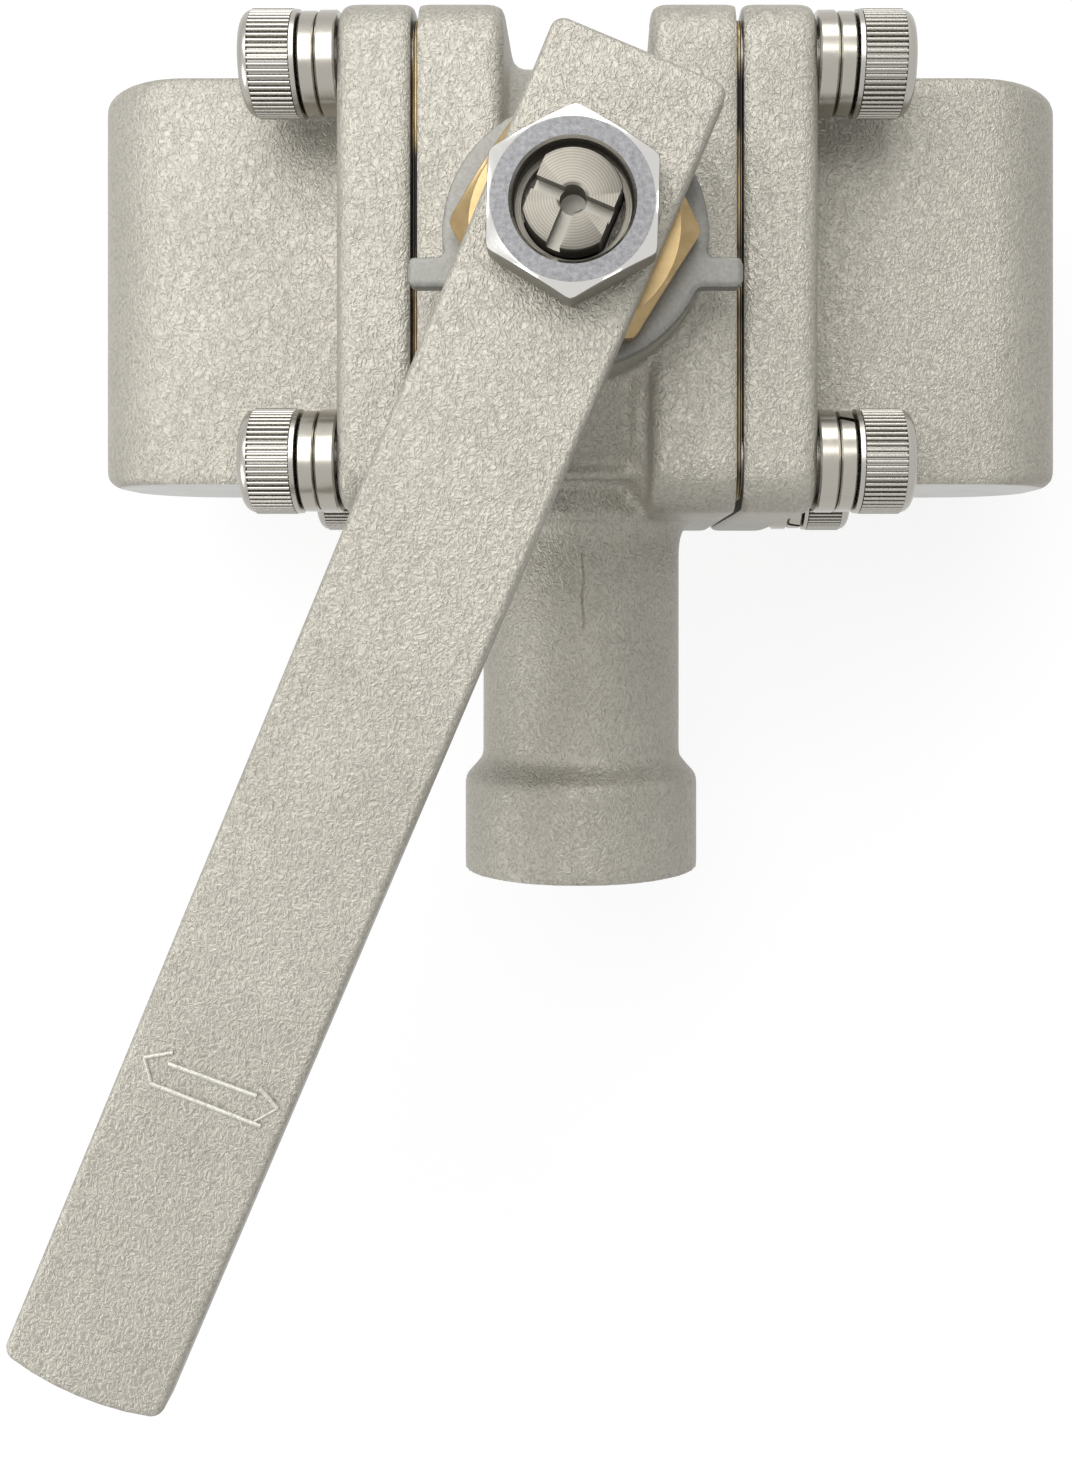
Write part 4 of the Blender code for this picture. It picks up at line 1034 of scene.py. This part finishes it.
def stop_plate_outline():
    """A circle with two tabs, rounded at their ends and filleted into the circle."""
    top_angle, bottom_angle = math.asin(TAB_TOP / STOP_RADIUS), math.asin(TAB_BOTTOM / STOP_RADIUS)
    corners, radii = [], []
    for start, end, near, far, side in (
            (top_angle, math.pi - top_angle, TAB_TOP, TAB_BOTTOM, -1),
            (math.pi - bottom_angle, 2 * math.pi + bottom_angle, TAB_BOTTOM, TAB_TOP, 1)):
        for step in range(33):
            angle = start + (end - start) * step / 32
            corners.append(Vector((STOP_RADIUS * math.cos(angle), STOP_RADIUS * math.sin(angle))))
            radii.append(0.0010 if step in (0, 32) else 0)
        corners += [Vector((side * TAB_REACH, near)), Vector((side * TAB_REACH, far))]
        radii += [0.0012, 0.0012]
    return rounded_outline(corners, radii, 5)


plate_low, plate_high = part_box("stop_plate")
plate = prism("plate", stop_plate_outline(), plate_low.z, plate_high.z)
stop_plate = cast_skin("stop_plate_blasted", [plate], 0.0006, 4, plate_grey)
machine(stop_plate, [rod("gland hole", 0.014, 0.10, 0.13, 96)], machined_steel)
dress(shade(stop_plate), "valve_body", "grey_plate", "stop_plate")


# %% Hexagon nuts
GLAND_FLATS = 0.0410
STEM_NUT_FLATS = 0.0300
# Height over reach of the cone that cuts the corners back
CONE_SLOPE = 0.55


def hex_nut(name, across_flats, low, high, turn, bore, face_radius, both_ends, finishes):
    """A nut as rings of points whose radius follows the hexagon; finishes: side, chamfer, face, bore."""
    edge, steps, slope = 0.00016, 20, CONE_SLOPE
    corner = across_flats / math.sqrt(3) * 0.988
    shape = bmesh.new()
    rows = []
    for k in range(6 * steps):
        angle = 2 * math.pi * k / (6 * steps)
        off_flat = (angle + math.pi / 6) % (math.pi / 3) - math.pi / 6
        reach = min(across_flats / 2 / math.cos(off_flat), corner)
        drop = (reach - face_radius) * slope
        line = [(reach - edge, low, 0)] if not both_ends else [(face_radius, low, 1), (reach, low + drop, 0)]
        line += [(reach, high - drop - edge, 0), (reach - edge, high - drop + edge * slope, 1),
                 (face_radius, high - 0.00016, 1), (face_radius - 0.00026, high, 2)]
        line += [(radius, height, 3 if i else 1) for i, (radius, height) in enumerate(bore)]
        heading = angle + math.radians(turn) + math.pi / 6
        rows.append([(shape.verts.new((radius * math.cos(heading), radius * math.sin(heading), height)), kind)
                     for radius, height, kind in line])
    for k, row in enumerate(rows):
        following = rows[(k + 1) % len(rows)]
        for i in range(len(row)):
            j = (i + 1) % len(row)
            face = shape.faces.new((row[i][0], row[j][0], following[j][0], following[i][0]))
            face.material_index = min(row[i][1], len(finishes) - 1)
    bmesh.ops.recalc_face_normals(shape, faces=shape.faces)
    nut = make_object(name, shape)
    for finish in finishes:
        nut.data.materials.append(finish)
    return shade(nut, 20)


gland_low, gland_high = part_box("gland_nut")
gland_hex_z = plate_high.z + FREE_GAP
gland_hole, gland_thread = STEM_RADIUS + FREE_GAP, 0.0137
gland_bore = [(gland_hole + 0.0007, gland_high.z), (gland_hole, gland_high.z - 0.0007),
              (gland_hole, gland_low.z), (gland_thread, gland_low.z), (gland_thread, gland_hex_z)]
gland_nut = hex_nut("gland_nut_brass", GLAND_FLATS, gland_hex_z, gland_high.z, -2.2, gland_bore, 0.0199,
                    False, [brass])
dress(gland_nut, "valve_body", "brass", "gland_nut")

# %% [markdown]
# ## Stem nut and stem
# The stem nut has a wide counterbored mouth. Its face is a matt ring, and the chamfered corners
# stay bright. The stem ends inside that mouth: two flats, three slots and a centre hole, on a
# turned face whose round tool marks catch the light.

# %% Stem nut
nut_low, nut_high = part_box("stem_nut")
lever_low, lever_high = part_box("lever")
nut_bore = [(0.0112, nut_high.z), (0.0107, nut_high.z - 0.0006), (0.0107, nut_high.z - 0.0032),
            (0.0104, nut_high.z - 0.0036), (0.0104, nut_high.z - 0.006), (0.0093, nut_high.z - 0.006),
            (0.0093, nut_low.z)]
stem_nut = hex_nut("stem_nut_faced", STEM_NUT_FLATS, nut_low.z, nut_high.z, 88.3, nut_bore, 0.01462, True,
                   [slot_steel, nut_steel, nut_face_matt, turned_steel])
dress(stem_nut, "lever_group", "machined_stainless", "stem_nut")

# %% Stem
stem_low, stem_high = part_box("stem")
STEM_FLATS = 0.0145


def to_rest(thing):
    """Turn a piece that is drawn in line with the branch to where the lever stands in the photo."""
    thing.data.transform(Matrix.Rotation(REST_TURN, 4, "Z"))
    return thing


def make_stem():
    top, reach, half_slot = stem_high.z, 0.02, 0.00125
    shoulder, rounding = 0.0125, 0.0007
    profile = [(0, SHOULDER_LOW), (shoulder, SHOULDER_LOW), (shoulder, SHOULDER_HIGH),
               (STEM_RADIUS, SHOULDER_HIGH), (STEM_RADIUS, top - rounding),
               (STEM_RADIUS - 0.0002, top - 0.0002), (STEM_RADIUS - rounding, top), (0, top)]
    stem = turned("stem_turned", profile, 160, turned_steel)
    tongue = block("tongue", (-0.0037, -0.008, stem_low.z), (0.0037, 0.008, 0.080), machined_steel)
    combine(stem, [tongue], "UNION")
    tools = [block("flat", (side * STEM_FLATS / 2, -reach, lever_low.z - FREE_GAP),
                   (side * reach, reach, top + 0.001)) for side in (1, -1)]
    tools.append(block("slot across", (-reach, -half_slot, top - 0.003), (reach, half_slot, top + 0.001)))
    tools.append(block("slot along", (-half_slot, -reach, top - 0.003), (half_slot, 0, top + 0.001)))
    tools.append(turned("centre hole", [(0, top - 0.0076), (0.0024, top - 0.007), (0.0024, top - 0.0004),
                                        (0.0028, top), (0.0028, top + 0.001), (0, top + 0.001)], 48))
    return shade(to_rest(machine(stem, tools, slot_steel)))


dress(make_stem(), "lever_group", "machined_stainless", "stem")

# %% [markdown]
# ## The lever
# The lever is a flat casting with rounded edges. Near its end stands a thin raised double arrow,
# cast with it. Voxels would blur the bar's long straight edges, so it is a loft through outlines
# whose inset follows the edge's rounding. The arrow's lines are beads half sunk in its top face.

# %% The lever
TIP_REACH = 0.2306
TIP_WIDTH = 0.0307
TIP_BULGE = 0.002
TAIL_WIDTH = 0.034
TAIL_REACH = 0.032
BAR_ROUND = 0.0012
BAR_CORNER, BAR_CORNER_LEAST = 0.0026, 0.0006
bar_high = lever_high.z
bar_low = bar_high - 0.0078
# Lines of the arrow in the lever's own plan, in millimetres from the stem: ends and half width
ARROW_LINES = (
    ((-12.3, -169.4), (-7.8, -166.6), 0.48),
    ((-7.9, -168.8), (9.0, -168.0), 0.52),
    ((-9.5, -173.3), (11.7, -172.7), 0.52),
    ((8.9, -166.4), (13.3, -168.6), 0.48),
    ((-12.3, -169.4), (-9.5, -172.9), 0.34),
    ((13.3, -168.6), (10.3, -172.4), 0.34),
)


def lever_bar():
    """The bar as a loft: the first and last outlines lie inside the flat faces and keep them flat."""
    sections = []
    inner = 1.5 * BAR_ROUND
    levels = edge_levels(bar_low, bar_high, BAR_ROUND, BAR_ROUND)
    for inset, height in [(inner, bar_low)] + levels + [(inner, bar_high)]:
        tip, tail, end = TIP_WIDTH / 2 - inset, TAIL_WIDTH / 2 - inset, -TIP_REACH + inset
        corners = [Vector(point) for point in ((tip, end + TIP_BULGE), (tail, TAIL_REACH - inset),
                                               (-tail, TAIL_REACH - inset), (-tip, end + TIP_BULGE))]
        corners += [Vector((share * tip, end + TIP_BULGE * share * share))
                    for share in (-0.6, -0.3, 0, 0.3, 0.6)]
        radius = max(BAR_CORNER - inset, BAR_CORNER_LEAST)
        sections.append(at_height(rounded_outline(corners, [radius] * 4 + [0] * 5, 8), height))
    return lofted("lever_casting", sections, cast_stainless)


def arrow_line(start, end, half_width):
    """A low straight ridge, half sunk in the lever's top face."""
    start, end = Vector(start) * 0.001, Vector(end) * 0.001
    points = [start.lerp(end, share) for share in (0, 0.04, 0.5, 0.96, 1)]
    return bead("arrow line", at_height(points, bar_high), half_width * 0.001, 12)


def double_d(radius, across_flats):
    """A circle with two flats, from its two arcs."""
    reach = math.asin(across_flats / 2 / radius)
    angles = [start + 2 * reach * k / 24 for start in (math.pi / 2 - reach, 1.5 * math.pi - reach)
              for k in range(25)]
    return [Vector((radius * math.cos(angle), radius * math.sin(angle))) for angle in angles]


lug = block("lug", (-0.0042, 0.0263, lever_low.z), (0.0042, 0.0312, bar_high - 0.003), cast_stainless)
lever = combine(lever_bar(), [lug], "UNION")
stem_hole = prism("stem hole", double_d(STEM_RADIUS + FREE_GAP, STEM_FLATS + 2 * FREE_GAP), bar_low - 0.01,
                  bar_high + 0.01)
machine(lever, [stem_hole], machined_steel)
dress(shade(to_rest(lever)), "lever_group", "cast_stainless", "lever")

arrow = gather("lever_arrow_lines", [arrow_line(*line) for line in ARROW_LINES])
arrow.data.materials.append(cast_rubbed)
dress(shade(to_rest(arrow), 60), "lever_group", "cast_stainless")

# %% [markdown]
# ## The ball and the inner pieces
# The ball is ground and polished, and shows through the ports. The seats, packing, springs and
# dowels keep their solids' shapes, which are right already, and only get their finishes.

# %% The ball
BALL_RADIUS = 0.0255


def make_polished_steel():
    material, tree, shader, place = new_material("ball_ground_polished", "C9C8C4", 1.0, 0.1)
    vary_roughness(tree, shader, noise(tree, place, 0.2, 3.0), 0.07, 0.16)
    return material


def make_ball():
    angles = [math.pi * k / 64 for k in range(65)]
    profile = [(BALL_RADIUS * math.sin(angle), -BALL_RADIUS * math.cos(angle)) for angle in angles]
    profile[0], profile[-1] = (0, -BALL_RADIUS), (0, BALL_RADIUS)
    ball = turned("ball_polished", profile, 128, make_polished_steel())
    ball.data.transform(Matrix.Translation((0, 0, RUN_HEIGHT)))
    tools = [along_run(rod("bar", PORT_RADIUS, -0.05, 0.05, 96)),
             aim(rod("leg", PORT_RADIUS, 0, 0.05, 96), -ALONG_Y, (0, 0, RUN_HEIGHT)),
             block("slot", (-0.004, -0.05, stem_low.z - FREE_GAP), (0.004, 0.05, 0.1))]
    return shade(to_rest(machine(ball, tools, machined_steel)), 25)


dress(make_ball(), "lever_group", "machined_stainless", "ball")


# %% Finishes of the inner pieces
def refinish(names, material):
    """Give solids that keep their shape a new material."""
    for name in names:
        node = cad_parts[name]
        node.data.materials.clear()
        node.data.materials.append(material)
    print(material.name, "on", ", ".join(names))


refinish(["seat_left", "seat_right", "thrust_washer"], ptfe)
refinish(["packing_ring_lower", "packing_ring_middle", "packing_ring_upper"], graphite)
refinish(["disc_spring_lower", "disc_spring_upper"], spring_steel)
refinish(["gland_follower"], turned_steel)
refinish(["stop_dowel_left", "stop_dowel_right"], nut_steel)
